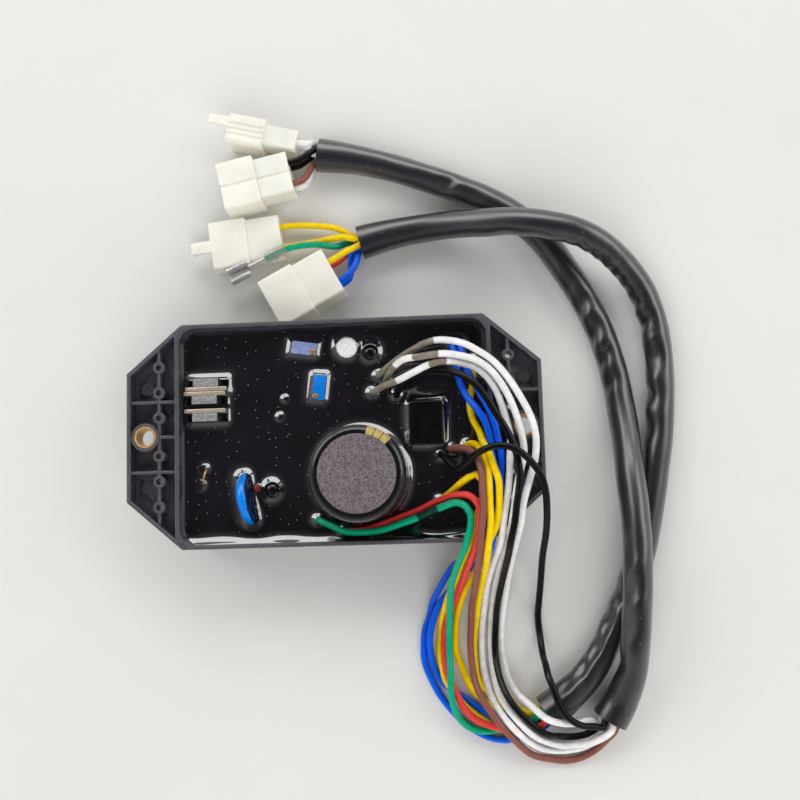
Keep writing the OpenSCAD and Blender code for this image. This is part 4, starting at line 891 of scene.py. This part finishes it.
class HarnessLook(bpy.types.PropertyGroup):
    """Wires and sleeves."""

    wire: length_setting("Wire diameter", WIRE_D * MM, "Diameter over the insulation")
    sleeve: length_setting("Sleeve diameter", SLEEVE_D * MM, "Outer diameter of the sleeves")
    shrunk: length_setting("Drawn radius", 0.0055, "Outer radius of the sleeves between their mouths")
    mouth: length_setting("Mouth", 0.016, "Length over which a mouth opens")
    flare: bpy.props.FloatProperty(name="Flare", description="Widening of the mouths", default=0.14)
    white: colour_setting("White", (0.97, 0.965, 0.96), "White insulation")
    black: colour_setting("Black", (0.04, 0.037, 0.04), "Black insulation")
    brown: colour_setting("Brown", (0.56, 0.34, 0.29), "Brown insulation")
    blue: colour_setting("Blue", (0.0, 0.37, 0.92), "Blue insulation")
    yellow: colour_setting("Yellow", (1.0, 0.85, 0.0), "Yellow insulation")
    red: colour_setting("Red", (0.93, 0.26, 0.24), "Red insulation")
    green: colour_setting("Green", (0.0, 0.66, 0.48), "Green insulation")
    white_stain: colour_setting("Stain on white", (0.5, 0.455, 0.4), "Resin stains on white wires")
    green_stain: colour_setting("Stain on green", (0.06, 0.2, 0.15), "Resin stain on the green wire")
    pvc: colour_setting("Sleeve", (0.09, 0.085, 0.118), "Sleeves over the wires")


class ConnectorLook(bpy.types.PropertyGroup):
    """Plug-in connectors and the loose terminal."""

    edge: length_setting("Edge radius", 0.0004, "Rounding of the connector edges")
    spade_edge: length_setting("Terminal edge", 0.00012, "Rounding of the loose terminal")
    nylon: colour_setting("Nylon", (0.94, 0.93, 0.885), "Natural nylon of the shells")
    # A painted glow lightens the shaded sides of the shells.
    painted_glow: colour_setting("Painted glow", (1.0, 0.97, 0.88), "Painted glow that lightens the nylon's shaded sides")


class StageLook(bpy.types.PropertyGroup):
    """Floor, lamps and camera."""

    floor: colour_setting("Floor", (0.89, 0.883, 0.871), "Colour of the floor")
    side: length_setting("Floor side", 3.0, "Length of each side of the floor")
    key: bpy.props.FloatProperty(
        name="Key lamp", description="Power of the large lamp", default=20.5, unit="POWER"
    )
    sky: bpy.props.FloatProperty(
        name="Room light", description="Strength of the light from around", default=0.55
    )


class RegulatorLook(bpy.types.PropertyGroup):
    """All settings of the regulator."""

    tray: bpy.props.PointerProperty(type=TrayLook)
    resin: bpy.props.PointerProperty(type=ResinLook)
    parts: bpy.props.PointerProperty(type=PartLook)
    harness: bpy.props.PointerProperty(type=HarnessLook)
    connectors: bpy.props.PointerProperty(type=ConnectorLook)
    stage: bpy.props.PointerProperty(type=StageLook)


# Finishes that several pieces share, and plain finishes of small parts

PLAIN_FINISHES = {
    # name: main tone, second tone, roughness from and to, scale of the tone and of the grain
    "Board laminate": ((0.2, 0.36, 0.2), (0.25, 0.4, 0.22), (0.3, 0.5), 200, 3000),
    "Block body": ((0.05, 0.048, 0.052), (0.07, 0.068, 0.072), (0.12, 0.22), 300, 900),
    "Small can": ((1.0, 1.0, 1.0), (0.8, 0.8, 0.82), (0.3, 0.5), 1500, 2500),
    "Dark coating": ((0.05, 0.05, 0.055), (0.08, 0.08, 0.085), (0.08, 0.15), 300, 400),
    "Bead coating": ((0.45, 0.16, 0.1), (0.35, 0.12, 0.08), (0.1, 0.2), 800, 3000),
}
FINISHES = {}


def finish_once(name, *args, **kwargs):
    """A finish that several pieces share."""
    if name not in FINISHES:
        FINISHES[name] = finish(name, *args, **kwargs)
    return FINISHES[name]


def plain(name):
    """One of the plain finishes."""
    main, second, rough, tone, grain = PLAIN_FINISHES[name]
    return finish_once(name, main, second, rough, tone=tone, grain=grain)


def tin(look):
    """Tinned metal of contacts and leads."""
    metal = look.parts.metal
    return finish_once(
        "Tinned metal", metal, toned(metal, 0.8), (0.22, 0.42), tone=900, grain=5000, Metallic=1.0
    )


def brass(look):
    """Brass of inserts, screws and the bare wire arch."""
    metal = look.tray.brass
    return finish_once(
        "Brass", metal, toned(metal, 0.8), (0.3, 0.5), tone=1500, grain=6000, Metallic=0.75
    )


def dress(node, material):
    """Gives a CAD node that stays as it is a finer material."""
    slot = NODES[node].material_slots[0]
    slot.link = "OBJECT"
    slot.material = material


# Tray


# Picks the tray's faces that take painted light.
def looks_up(normal):
    """Whether a face with this normal looks up."""
    return normal.z > FACING_UP


class REGULATOR_OT_tray(bpy.types.Operator):
    """Dresses the moulded tray, its brass inserts and the board"""

    bl_idname = "regulator.tray"
    bl_label = "Tray"

    def execute(self, context):
        look = context.scene.regulator_look
        tray = look.tray
        # The tray's pale edges are partly a painted highlight, and its faces that look up take painted light.
        plastic = finish(
            "Tray plastic",
            tray.plastic,
            toned(tray.plastic, 1.6),
            (0.28, 0.5),
            tone=260,
            grain=2600,
            depth=0.00004,
            wear_and_highlight_tone=tray.wear_and_highlight_tone,
            wear=0.7,
            top=(tray.top, tray.top_dark),
        )
        softened("housing", tray.edge, plastic, marked=looks_up)
        for node in ("insert_left", "insert_right"):
            softened(node, tray.insert_edge, brass(look), clamp=True)
        dress("circuit_board", plain("Board laminate"))
        return {"FINISHED"}


# Resin


def box_gap(x, y, box):
    """Distance from the outline of a turned box with round corners; negative inside."""
    cx, cy, turn, hx, hy, r = box
    c, s = math.cos(math.radians(turn)), math.sin(math.radians(turn))
    dx, dy = x - cx, y - cy
    px, py = abs(c * dx + s * dy) - hx + r, abs(c * dy - s * dx) - hy + r
    return math.hypot(max(px, 0.0), max(py, 0.0)) + min(max(px, py), 0.0) - r


def round_gap(x, y, part):
    """Distance from the outline of a round part; negative inside."""
    cx, cy, r = part
    return math.hypot(x - cx, y - cy) - r


def climb(gap, rise, reach):
    """Square of the resin's climb at a distance from what it wets."""
    return (rise * math.exp(-max(gap, 0.0) / reach)) ** 2


def wave(x, y, length, layer):
    """Slow noise over the resin."""
    return noise.noise(Vector((x, y, layer)) / length)


def resin_level(x, y, rise, reach):
    """Height of the resin above its plain level, in millimetres."""
    gaps = [round_gap(x, y, part) for part in ROUND_PARTS] + [box_gap(x, y, box) for box in BOX_PARTS]
    if min(gaps) < INSIDE_PART:
        return SUNK
    total = sum(climb(gap, rise, reach) for gap in gaps)
    for part in (*WIRE_FEET, *THIN_LEADS):
        total += climb(round_gap(x, y, part), THIN_CLIMB * rise, THIN_CLIMB * reach)
    uneven = rise * (1 + UNEVEN * wave(x, y, *UNEVEN_WAVE))
    total += climb(-box_gap(x, y, WELL), WALL_CLIMB * uneven, reach)
    total += climb(y + WELL_Y, FRONT_CLIMB * uneven, FRONT_REACH * reach)
    level = math.sqrt(total)
    for cx, cy, r in RESIN_BUMPS:
        near = math.hypot(x - cx, y - cy) / r
        if near < 1:
            level += BUMP_RISE * (1 - near * near) ** 1.5
    return level + SWELL * wave(x, y, *SWELL_WAVE)


class REGULATOR_OT_resin(bpy.types.Operator):
    """Pours the potting resin, which climbs a little at every component and wall"""

    bl_idname = "regulator.resin"
    bl_label = "Resin"

    def execute(self, context):
        look = context.scene.regulator_look.resin
        hx, hy = WELL_X + RESIN_OVERLAP, WELL_Y + RESIN_OVERLAP
        nx, ny = (round(2 * h * MM / look.cell) for h in (hx, hy))
        rise, reach = look.rise / MM, look.reach / MM
        verts = []
        for j in range(ny + 1):
            for i in range(nx + 1):
                x, y = hx * (2 * i / nx - 1), hy * (2 * j / ny - 1)
                verts.append(Vector((x, y, RESIN_Z + resin_level(x, y, rise, reach))) * MM)
        faces = quads(ny + 1, nx + 1)
        rim = grid_rim(ny + 1, nx + 1)
        under = [len(verts) + k for k in range(len(rim))]
        verts += [Vector((verts[k].x, verts[k].y, (RESIN_Z - RESIN_DEPTH) * MM)) for k in rim]
        for k in range(len(rim)):
            faces.append((rim[k - 1], under[k - 1], under[k], rim[k]))
        faces.append(tuple(reversed(under)))
        resin = finish(
            "Potting resin",
            look.resin,
            toned(look.resin, 0.7),
            (0.05, 0.09),
            tone=60,
            grain=90,
            dust=(260.0, 0.04, 0.45),
            IOR=1.9,
            Coat_Weight=1.0,
            Coat_Roughness=0.04,
            Coat_IOR=1.9,
        )
        piece = mesh_piece("resin", verts, faces, resin)
        piece.data.set_sharp_from_angle(angle=math.radians(RESIN_CREST))
        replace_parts(piece, "potting")
        return {"FINISHED"}


# Main capacitor


def around_can(radius, angle, height):
    """A point about the main capacitor's axis, in metres."""
    return Vector((CAN[0] + radius * math.cos(angle), CAN[1] + radius * math.sin(angle), height)) * MM


def shoulder_point(angle, lift=0.0):
    """Radius and height on the can's rounded edge, from 0 at its side to 90 degrees at its top."""
    a = math.radians(angle)
    r = SHOULDER + lift
    return CAN_R - SHOULDER + r * math.cos(a), CAN_TOP - SHOULDER + r * math.sin(a)


def turned(name, profile, material):
    """A closed piece that is turned about the can's axis from (radius, height) points."""
    verts = []
    for k in range(CAN_SIDES + 1):
        verts += [around_can(r, 2 * math.pi * k / CAN_SIDES, z) for r, z in profile]
    piece = mesh_piece(name, verts, quads(CAN_SIDES + 1, len(profile)), material)
    closed_up(piece.data, weld=TURNED_WELD)
    return piece


class REGULATOR_OT_capacitor(bpy.types.Operator):
    """Builds the main capacitor's shrink sleeve, its disc and plain polarity bars"""

    bl_idname = "regulator.capacitor"
    bl_label = "Main capacitor"

    def execute(self, context):
        look = context.scene.regulator_look.parts
        film = finish(
            "Shrink sleeve",
            look.film,
            toned(look.film, 1.4),
            (0.2, 0.3),
            tone=150,
            grain=700,
            depth=0.00003,
            IOR=1.5,
            Coat_Weight=0.6,
            Coat_Roughness=0.12,
        )
        inner, foot, under = CAN_R - FILM, RESIN_Z - FILM_FOOT, CAN_TOP - FILM
        profile = [(inner, foot), (CAN_R, foot), *((CAN_R, z) for z in FILM_RINGS)]
        profile += [shoulder_point(9 * k) for k in range(11)]
        profile += [(LIP_R + LIP_ROUND, CAN_TOP), (LIP_R, CAN_TOP - LIP_DROP), (LIP_R, under)]
        profile += [(CAN_R - SHOULDER, under), (inner, CAN_TOP - SHOULDER), (inner, foot)]
        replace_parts(turned("capacitor_film", profile, film), "capacitor_sleeve")
        grey = finish(
            "Capacitor disc",
            look.disc,
            toned(look.disc, 0.02),
            (0.35, 0.55),
            tone=2000,
            grain=2300,
            depth=0.00012,
        )
        rim = [(DISC_R - inwards, CAN_TOP - drop) for inwards, drop in DISC_RIM]
        profile = [(0, rim[0][1]), *rim, (0, CAN_TOP - DISC_DIP)]
        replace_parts(turned("capacitor_disc", profile, grey), "capacitor_top_disc")
        gilt = finish("Polarity bars", look.mark, toned(look.mark, 0.9), (0.35, 0.5), tone=1200, grain=2500)
        for k, start in enumerate(BAR_STARTS):
            self.bar(f"polarity_bar_{k + 1}", start, gilt)
        dress("capacitor_can", tin(context.scene.regulator_look))
        return {"FINISHED"}

    def bar(self, name, start, material):
        """One plain bar over the rounded edge of the film."""
        rows = BAR_STEPS + 1
        verts = []
        for lift in (0.0, BAR_SKIN):
            for i in range(rows):
                around = math.radians(start + BAR_WIDTH * i / BAR_STEPS)
                for j in range(BAR_STEPS):
                    r, z = shoulder_point(BAR_FROM + (90 - BAR_FROM) * j / (BAR_STEPS - 1), lift)
                    verts.append(around_can(r, around, z))
                verts.append(around_can(r - BAR_OVERLAP, around, z))
        over = rows * rows
        faces = quads(rows, rows) + quads(rows, rows, first=over, flip=True)
        rim = grid_rim(rows, rows)
        for a, b in zip(rim, rim[1:] + rim[:1]):
            faces.append((a, b, over + b, over + a))
        piece = mesh_piece(name, verts, faces, material)
        closed_up(piece.data)


# Components


def in_shade(normal):
    """Whether a face with this normal is on the varistor's right side, which takes a painted shade."""
    return normal.x > FACING_RIGHT and normal.z < TOO_LEVEL


class REGULATOR_OT_components(bpy.types.Operator):
    """Dresses power devices, trimmers, block, varistor and the small parts"""

    bl_idname = "regulator.components"
    bl_label = "Components"

    def execute(self, context):
        look = context.scene.regulator_look
        parts = look.parts
        self.devices(parts)
        self.trimmers(parts, brass(look))
        softened("rectifier_block", parts.block_edge, plain("Block body"), segments=3)
        # The varistor's right side takes a painted shade through the top tone.
        coat = finish(
            "Varistor coating",
            parts.varistor,
            toned(parts.varistor, 0.85),
            (0.12, 0.25),
            tone=250,
            grain=500,
            top=(parts.varistor_shade, parts.varistor_shade_dark),
        )
        softened("varistor", parts.varistor_edge, coat, marked=in_shade)
        dress("small_electrolytic", plain("Small can"))
        for k in (1, 2):
            dress(f"coated_capacitor_{k}", plain("Dark coating"))
        dress("thermistor_bead", plain("Bead coating"))
        dress("jumper_lead", brass(look))
        dress("component_leads", tin(look))
        return {"FINISHED"}

    def devices(self, parts):
        """The three power devices, each a metal tab behind a moulded body."""
        # The tab tops take a painted highlight, and their edges a near-white painted highlight.
        tab = finish(
            "Tab metal",
            toned(parts.cut, 0.6),
            toned(parts.cut, 0.45),
            (0.25, 0.45),
            tone=900,
            grain=2500,
            wear_and_highlight_tone=parts.tab_edge_highlight,
            wear=0.9,
            top=(parts.cut, toned(parts.cut, 0.8)),
            Metallic=0.6,
        )
        # The bodies' top faces take pale specks, a painted sheen over the moulding's grain.
        body = finish(
            "Device body",
            parts.moulding,
            toned(parts.moulding, 1.3),
            (0.4, 0.6),
            tone=400,
            grain=2500,
            depth=0.00004,
            wear_and_highlight_tone=parts.moulding_worn,
            top=(parts.moulding_top_sheen, parts.moulding_dark),
        )
        for k in (1, 2, 3):
            softened(f"device_tab_{k}", parts.edge, tab)
            softened(f"device_body_{k}", parts.edge, body)

    def trimmers(self, parts, gold):
        """Both trimmers with the screws that turn in them."""
        # The first trimmer takes a paler colour, a painted glare.
        for k, (name, blue) in enumerate((("Pale trimmer", parts.glare), ("Trimmer body", parts.trimmer)), 1):
            skin = finish(name, blue, toned(blue, 0.85), (0.25, 0.4), tone=500, grain=2500)
            softened(f"trimmer_body_{k}", parts.edge, skin)
            softened(f"trimmer_screw_{k}", parts.screw_edge, gold, body=f"adjuster_{k}")


# Harness


def lane(route, angle):
    """A wire's place in its sleeve, turning by the lane twist on the way."""
    line = [Vector(p) for p in route]
    if angle is None:
        return line
    out = []
    last = len(line) - 1
    for i, (p, t) in enumerate(zip(line, headings(line))):
        side = Vector((t.y, -t.x, 0)).normalized()
        w = math.radians(angle + LANE_TWIST * i / last)
        r = LANE_R - LANE_SQUEEZE * min(i / 2, (last - i) / 2, 1)
        out.append(p + r * (math.cos(w) * side + math.sin(w) * side.cross(t)))
    return out


def into_cell(connector, column, row):
    """Two points that lead a wire straight into its cell."""
    x, y, turn, columns, rows = CONNECTORS[connector]
    c, s = math.cos(math.radians(turn)), math.sin(math.radians(turn))
    across = (column - (columns - 1) / 2) * CELL_PITCH
    up = (rows * ROW_PITCH + 2 * SHELL) / 2 + (row - (rows - 1) / 2) * ROW_PITCH
    return [Vector((x + c * a - s * across, y + s * a + c * across, up)) for a in (-LEAD_IN, CRIMP_X)]


def into_spade():
    """Two points that lead the green wire into its terminal."""
    at, turn = SPADE
    ahead = Vector((math.cos(math.radians(turn)), math.sin(math.radians(turn)), 0))
    return [Vector(at) - ahead * d for d in (SPADE_COVER, 0)]


def wire_line(name):
    """Middle line of a wire from the board to its contact, in metres."""
    _, route, sleeve, angle, tail, cell = WIRES[name]
    points = [Vector((*route[0][:2], z)) for z in (BOARD_Z, RESIN_Z - WIRE_DIP)]
    points += [Vector(p) for p in route]
    points += lane(ROUTE_A if sleeve == "a" else ROUTE_B, angle)
    points += [Vector(p) for p in tail]
    points += into_cell(*cell) if cell else into_spade()
    return [p * MM for p in smooth_line(points, WIRE_STEP)]


class REGULATOR_OT_wires(bpy.types.Operator):
    """Lays the thirteen insulated wires from the resin to their contacts"""

    bl_idname = "regulator.wires"
    bl_label = "Wires"

    def execute(self, context):
        look = context.scene.regulator_look.harness
        for name, (colour, *_) in WIRES.items():
            self.one_wire(name, look, self.insulation(name, colour, look))
        return {"FINISHED"}

    def insulation(self, name, colour, look):
        """A wire's finish: one for each colour, and one for each stained wire."""
        key = name if name in STAINS else colour
        if key not in FINISHES:
            main = getattr(look, colour)
            skin = finish_once(
                key,
                main,
                toned(main, 0.9),
                (0.24, 0.36),
                tone=350,
                grain=1500,
                depth=0.00001,
                Specular_IOR_Level=0.3,
            )
            if name in STAINS:
                stained(skin, STAINS[name], getattr(look, f"{colour}_stain"))
        return FINISHES[key]

    def one_wire(self, name, look, material):
        """One wire as a round tube along its line."""
        line = wire_line(name)
        verts = []
        across = Vector((1, 0, 0))
        for p, t in zip(line, headings(line)):
            across = (across - across.dot(t) * t).normalized()
            up = t.cross(across)
            for k in range(WIRE_SIDES):
                a = 2 * math.pi * k / WIRE_SIDES
                verts.append(p + look.wire / 2 * (math.cos(a) * across + math.sin(a) * up))
        faces = quads(len(line), WIRE_SIDES, closed=True)
        last = (len(line) - 1) * WIRE_SIDES
        faces.append(tuple(reversed(range(WIRE_SIDES))))
        faces.append(tuple(last + k for k in range(WIRE_SIDES)))
        piece = mesh_piece(f"{name}_run", verts, faces, material)
        along = run_length(line)
        buried = (RESIN_Z - BOARD_Z) * MM
        layer = piece.data.attributes.new("along", "FLOAT", "POINT")
        layer.data.foreach_set("value", [d - buried for d in along for _ in range(WIRE_SIDES)])
        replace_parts(piece, name)


def crease_depth(creases, along, angle):
    """Depth of the creases at one place of a sleeve, in millimetres."""
    total = 0.0
    for at, middle, depth, reach, spread, slant in creases:
        off = (angle - middle + 180) % 360 - 180
        x, y = (along - at - slant * off / 90) / reach, off / spread
        if x * x + y * y < CREASE_FADE:
            total += depth * math.exp(-x * x - y * y)
    return min(total, DEEPEST_CREASE)


class REGULATOR_OT_sleeves(bpy.types.Operator):
    """Draws the two creased sleeves over the wires"""

    bl_idname = "regulator.sleeves"
    bl_label = "Sleeves"

    def execute(self, context):
        look = context.scene.regulator_look.harness
        pvc = finish(
            "Sleeve PVC",
            look.pvc,
            toned(look.pvc, 0.85),
            (0.33, 0.43),
            tone=180,
            grain=1800,
            dust=(220.0, 0.03, 0.2),
            Specular_IOR_Level=0.7,
            Coat_Weight=1.0,
            Coat_Roughness=0.32,
            Coat_IOR=1.75,
        )
        for name, route in (("sleeve_a", ROUTE_A), ("sleeve_b", ROUTE_B)):
            self.one_sleeve(name, route, look, pvc)
        return {"FINISHED"}

    def one_sleeve(self, name, route, look, material):
        """One sleeve as a tube with a wall, drawn in and creased between its open mouths."""
        line = [p * MM for p in smooth_line(route[1:-1], SLEEVE_STEP)]
        along = run_length(line)
        outside, inside = [], []
        for p, t, d in zip(line, headings(line), along):
            side = Vector((t.y, -t.x, 0)).normalized()
            up = side.cross(t)
            mouth = math.exp(-((min(d, along[-1] - d) / look.mouth) ** MOUTH_FADE))
            plain_r = look.sleeve / 2 - (look.sleeve / 2 - look.shrunk) * (1 - mouth)
            for k in range(SLEEVE_SIDES):
                angle = 360 * k / SLEEVE_SIDES
                c, s = math.cos(math.radians(angle)), math.sin(math.radians(angle))
                at = Vector((d / (LUMP_LENGTH * MM), LUMPS_AROUND * c, LUMPS_AROUND * s))
                dent = crease_depth(CREASES[name], d / MM, angle)
                outer = plain_r + (LUMP * noise.noise(at) - dent) * MM
                inner = min(plain_r - SLEEVE_WALL * MM, outer - THINNEST_WALL * MM)
                ray = c * (1 + look.flare * mouth) * side + s * up
                outside.append(p + outer * ray)
                inside.append(p + inner * ray)
        count, shift = len(line), len(outside)
        skin = quads(count, SLEEVE_SIDES, closed=True)
        lining = quads(count, SLEEVE_SIDES, first=shift, closed=True, flip=True)
        faces = [face for both in zip(skin, lining) for face in both]
        for i in (0, count - 1):
            ring = [i * SLEEVE_SIDES + k for k in range(SLEEVE_SIDES)]
            for a, b in zip(ring, ring[1:] + ring[:1]):
                face = (a, b, shift + b, shift + a)
                faces.append(face if i else face[::-1])
        piece = mesh_piece(f"{name}_tube", outside + inside, faces, material)
        closed_up(piece.data)
        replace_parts(piece, name)


# Connectors


class REGULATOR_OT_connectors(bpy.types.Operator):
    """Dresses the connectors, their contacts and the loose terminal"""

    bl_idname = "regulator.connectors"
    bl_label = "Connectors"

    def execute(self, context):
        look = context.scene.regulator_look
        shells = look.connectors
        nylon = finish(
            "Natural nylon",
            shells.nylon,
            toned(shells.nylon, 0.96),
            (0.35, 0.5),
            tone=120,
            grain=1500,
            Subsurface_Weight=0.5,
            Subsurface_Scale=0.002,
            Subsurface_Radius=(1.0, 0.9, 0.7),
            # A faint painted glow lightens the shells' shaded sides.
            Emission_Color=linear(shells.painted_glow),
            Emission_Strength=0.05,
        )
        for k in (1, 2, 3, 4):
            softened(f"connector_{k}", shells.edge, nylon)
            dress(f"contacts_{k}", tin(look))
        pale = toned(look.parts.metal, 1.08)
        spade = finish("Pale tin", pale, toned(pale, 0.85), (0.3, 0.5), tone=700, grain=4000, Metallic=0.65)
        softened("spade_terminal", shells.spade_edge, spade)
        clear = finish(
            "Clear cover",
            (0.93, 0.93, 0.92),
            (0.9, 0.9, 0.88),
            (0.12, 0.2),
            Transmission_Weight=0.9,
            IOR=1.45,
        )
        dress("terminal_cover", clear)
        return {"FINISHED"}


# Stage, in metres

LAMPS = (
    # name, place, size, share of the power, mirrored in glossy surfaces
    ("back", (0.0, 1.8, 1.45), (2.0, 1.1), 1.0, True),
    ("back_left", (-1.55, 1.1, 1.4), (1.3, 1.1), 0.65, True),
    ("back_right", (1.7, 0.6, 1.35), (1.4, 1.0), 0.55, True),
    ("front", (0.1, -1.8, 1.7), (2.8, 2.2), 2.35, False),
)
LAMP_AIM = Vector((0.03, 0, 0))

# Room light: full below the first height of the sky, and a small share above the second
SKY_FROM, SKY_TO, SKY_TOP = 0.3, 0.95, 0.03

# Camera, fitted to the outline of the tray's rim in the photograph: its turn, place and focal length
CAMERA_TURN = Vector((3.0342, -0.0495, -0.0853))
CAMERA_AT = (0.0452, -0.0286, 0.3981)
FOCAL_PIXELS, PICTURE_PIXELS = 1000, 800
SENSOR = 36.0


class REGULATOR_OT_stage(bpy.types.Operator):
    """Sets the pale floor, the soft lamps and the camera"""

    bl_idname = "regulator.stage"
    bl_label = "Stage"

    def execute(self, context):
        look = context.scene.regulator_look.stage
        context.scene.view_settings.view_transform = "Standard"
        self.floor(context, look)
        for name, place, size, share, mirrored in LAMPS:
            self.lamp(context, name, place, size, look.key * share, mirrored)
        self.room(context, look)
        self.camera(context)
        return {"FINISHED"}

    def floor(self, context, look):
        """A plain pale floor."""
        half = look.side / 2
        corners = [(-half, -half, 0), (half, -half, 0), (half, half, 0), (-half, half, 0)]
        mesh = bpy.data.meshes.new("floor")
        mesh.from_pydata(corners, [], [(0, 1, 2, 3)])
        mesh.materials.append(
            finish("Floor", look.floor, toned(look.floor, 0.985), (0.5, 0.65), tone=6, grain=300)
        )
        floor = bpy.data.objects.new("floor", mesh)
        context.collection.objects.link(floor)

    def lamp(self, context, name, place, size, power, mirrored):
        """One soft lamp, turned to the part."""
        data = bpy.data.lights.new(name, "AREA")
        data.shape = "RECTANGLE"
        data.size, data.size_y = size
        data.energy = power
        lamp = bpy.data.objects.new(name, data)
        lamp.location = place
        lamp.visible_glossy = mirrored
        lamp.rotation_euler = (LAMP_AIM - Vector(place)).to_track_quat("-Z", "Y").to_euler()
        context.collection.objects.link(lamp)

    def room(self, context, look):
        """Light from around that fades towards the zenith."""
        world = bpy.data.worlds.new("Room")
        context.scene.world = world
        world.use_nodes = True
        tree = world.node_tree
        light = tree.nodes["Background"]
        light.inputs["Strength"].default_value = look.sky
        place = add(tree, "ShaderNodeTexCoord")
        height = add(tree, "ShaderNodeSeparateXYZ")
        dim = add(tree, "ShaderNodeMapRange", From_Min=SKY_FROM, From_Max=SKY_TO, To_Min=1.0, To_Max=SKY_TOP)
        grey = add(tree, "ShaderNodeCombineColor")
        join(
            tree,
            (place, "Generated", height, 0),
            (height, "Z", dim, "Value"),
            *((dim, "Result", grey, channel) for channel in ("Red", "Green", "Blue")),
            (grey, "Color", light, "Color"),
        )

    def camera(self, context):
        """The camera at the photograph's angle."""
        to_view = Matrix.Rotation(CAMERA_TURN.length, 3, CAMERA_TURN.normalized())
        to_view = Matrix(((1, 0, 0), (0, -1, 0), (0, 0, -1))) @ to_view
        data = bpy.data.cameras.new("camera")
        data.sensor_width = SENSOR
        data.lens = SENSOR * FOCAL_PIXELS / PICTURE_PIXELS
        data.clip_start, data.clip_end = 0.01, 20
        camera = bpy.data.objects.new("camera", data)
        camera.matrix_world = Matrix.Translation(CAMERA_AT) @ to_view.transposed().to_4x4()
        context.collection.objects.link(camera)
        context.scene.camera = camera


class REGULATOR_PT_panel(bpy.types.Panel):
    """Lists the steps that build the regulator"""

    bl_idname = "REGULATOR_PT_panel"
    bl_label = "Voltage regulator"
    bl_space_type = "VIEW_3D"
    bl_region_type = "UI"
    bl_category = "Regulator"

    def draw(self, context):
        for step in STEPS:
            self.layout.operator(step.bl_idname)


STEPS = (
    REGULATOR_OT_tray,
    REGULATOR_OT_resin,
    REGULATOR_OT_capacitor,
    REGULATOR_OT_components,
    REGULATOR_OT_connectors,
    REGULATOR_OT_sleeves,
    REGULATOR_OT_wires,
    REGULATOR_OT_stage,
)
CLASSES = (
    TrayLook,
    ResinLook,
    PartLook,
    HarnessLook,
    ConnectorLook,
    StageLook,
    RegulatorLook,
    *STEPS,
    REGULATOR_PT_panel,
)


def register():
    for cls in CLASSES:
        bpy.utils.register_class(cls)
    bpy.types.Scene.regulator_look = bpy.props.PointerProperty(type=RegulatorLook)


def unregister():
    del bpy.types.Scene.regulator_look
    for cls in reversed(CLASSES):
        bpy.utils.unregister_class(cls)


def main():
    register()
    for step in STEPS:
        group, name = step.bl_idname.split(".")
        getattr(getattr(bpy.ops, group), name)()
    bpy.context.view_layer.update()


if __name__ == "__main__":
    main()
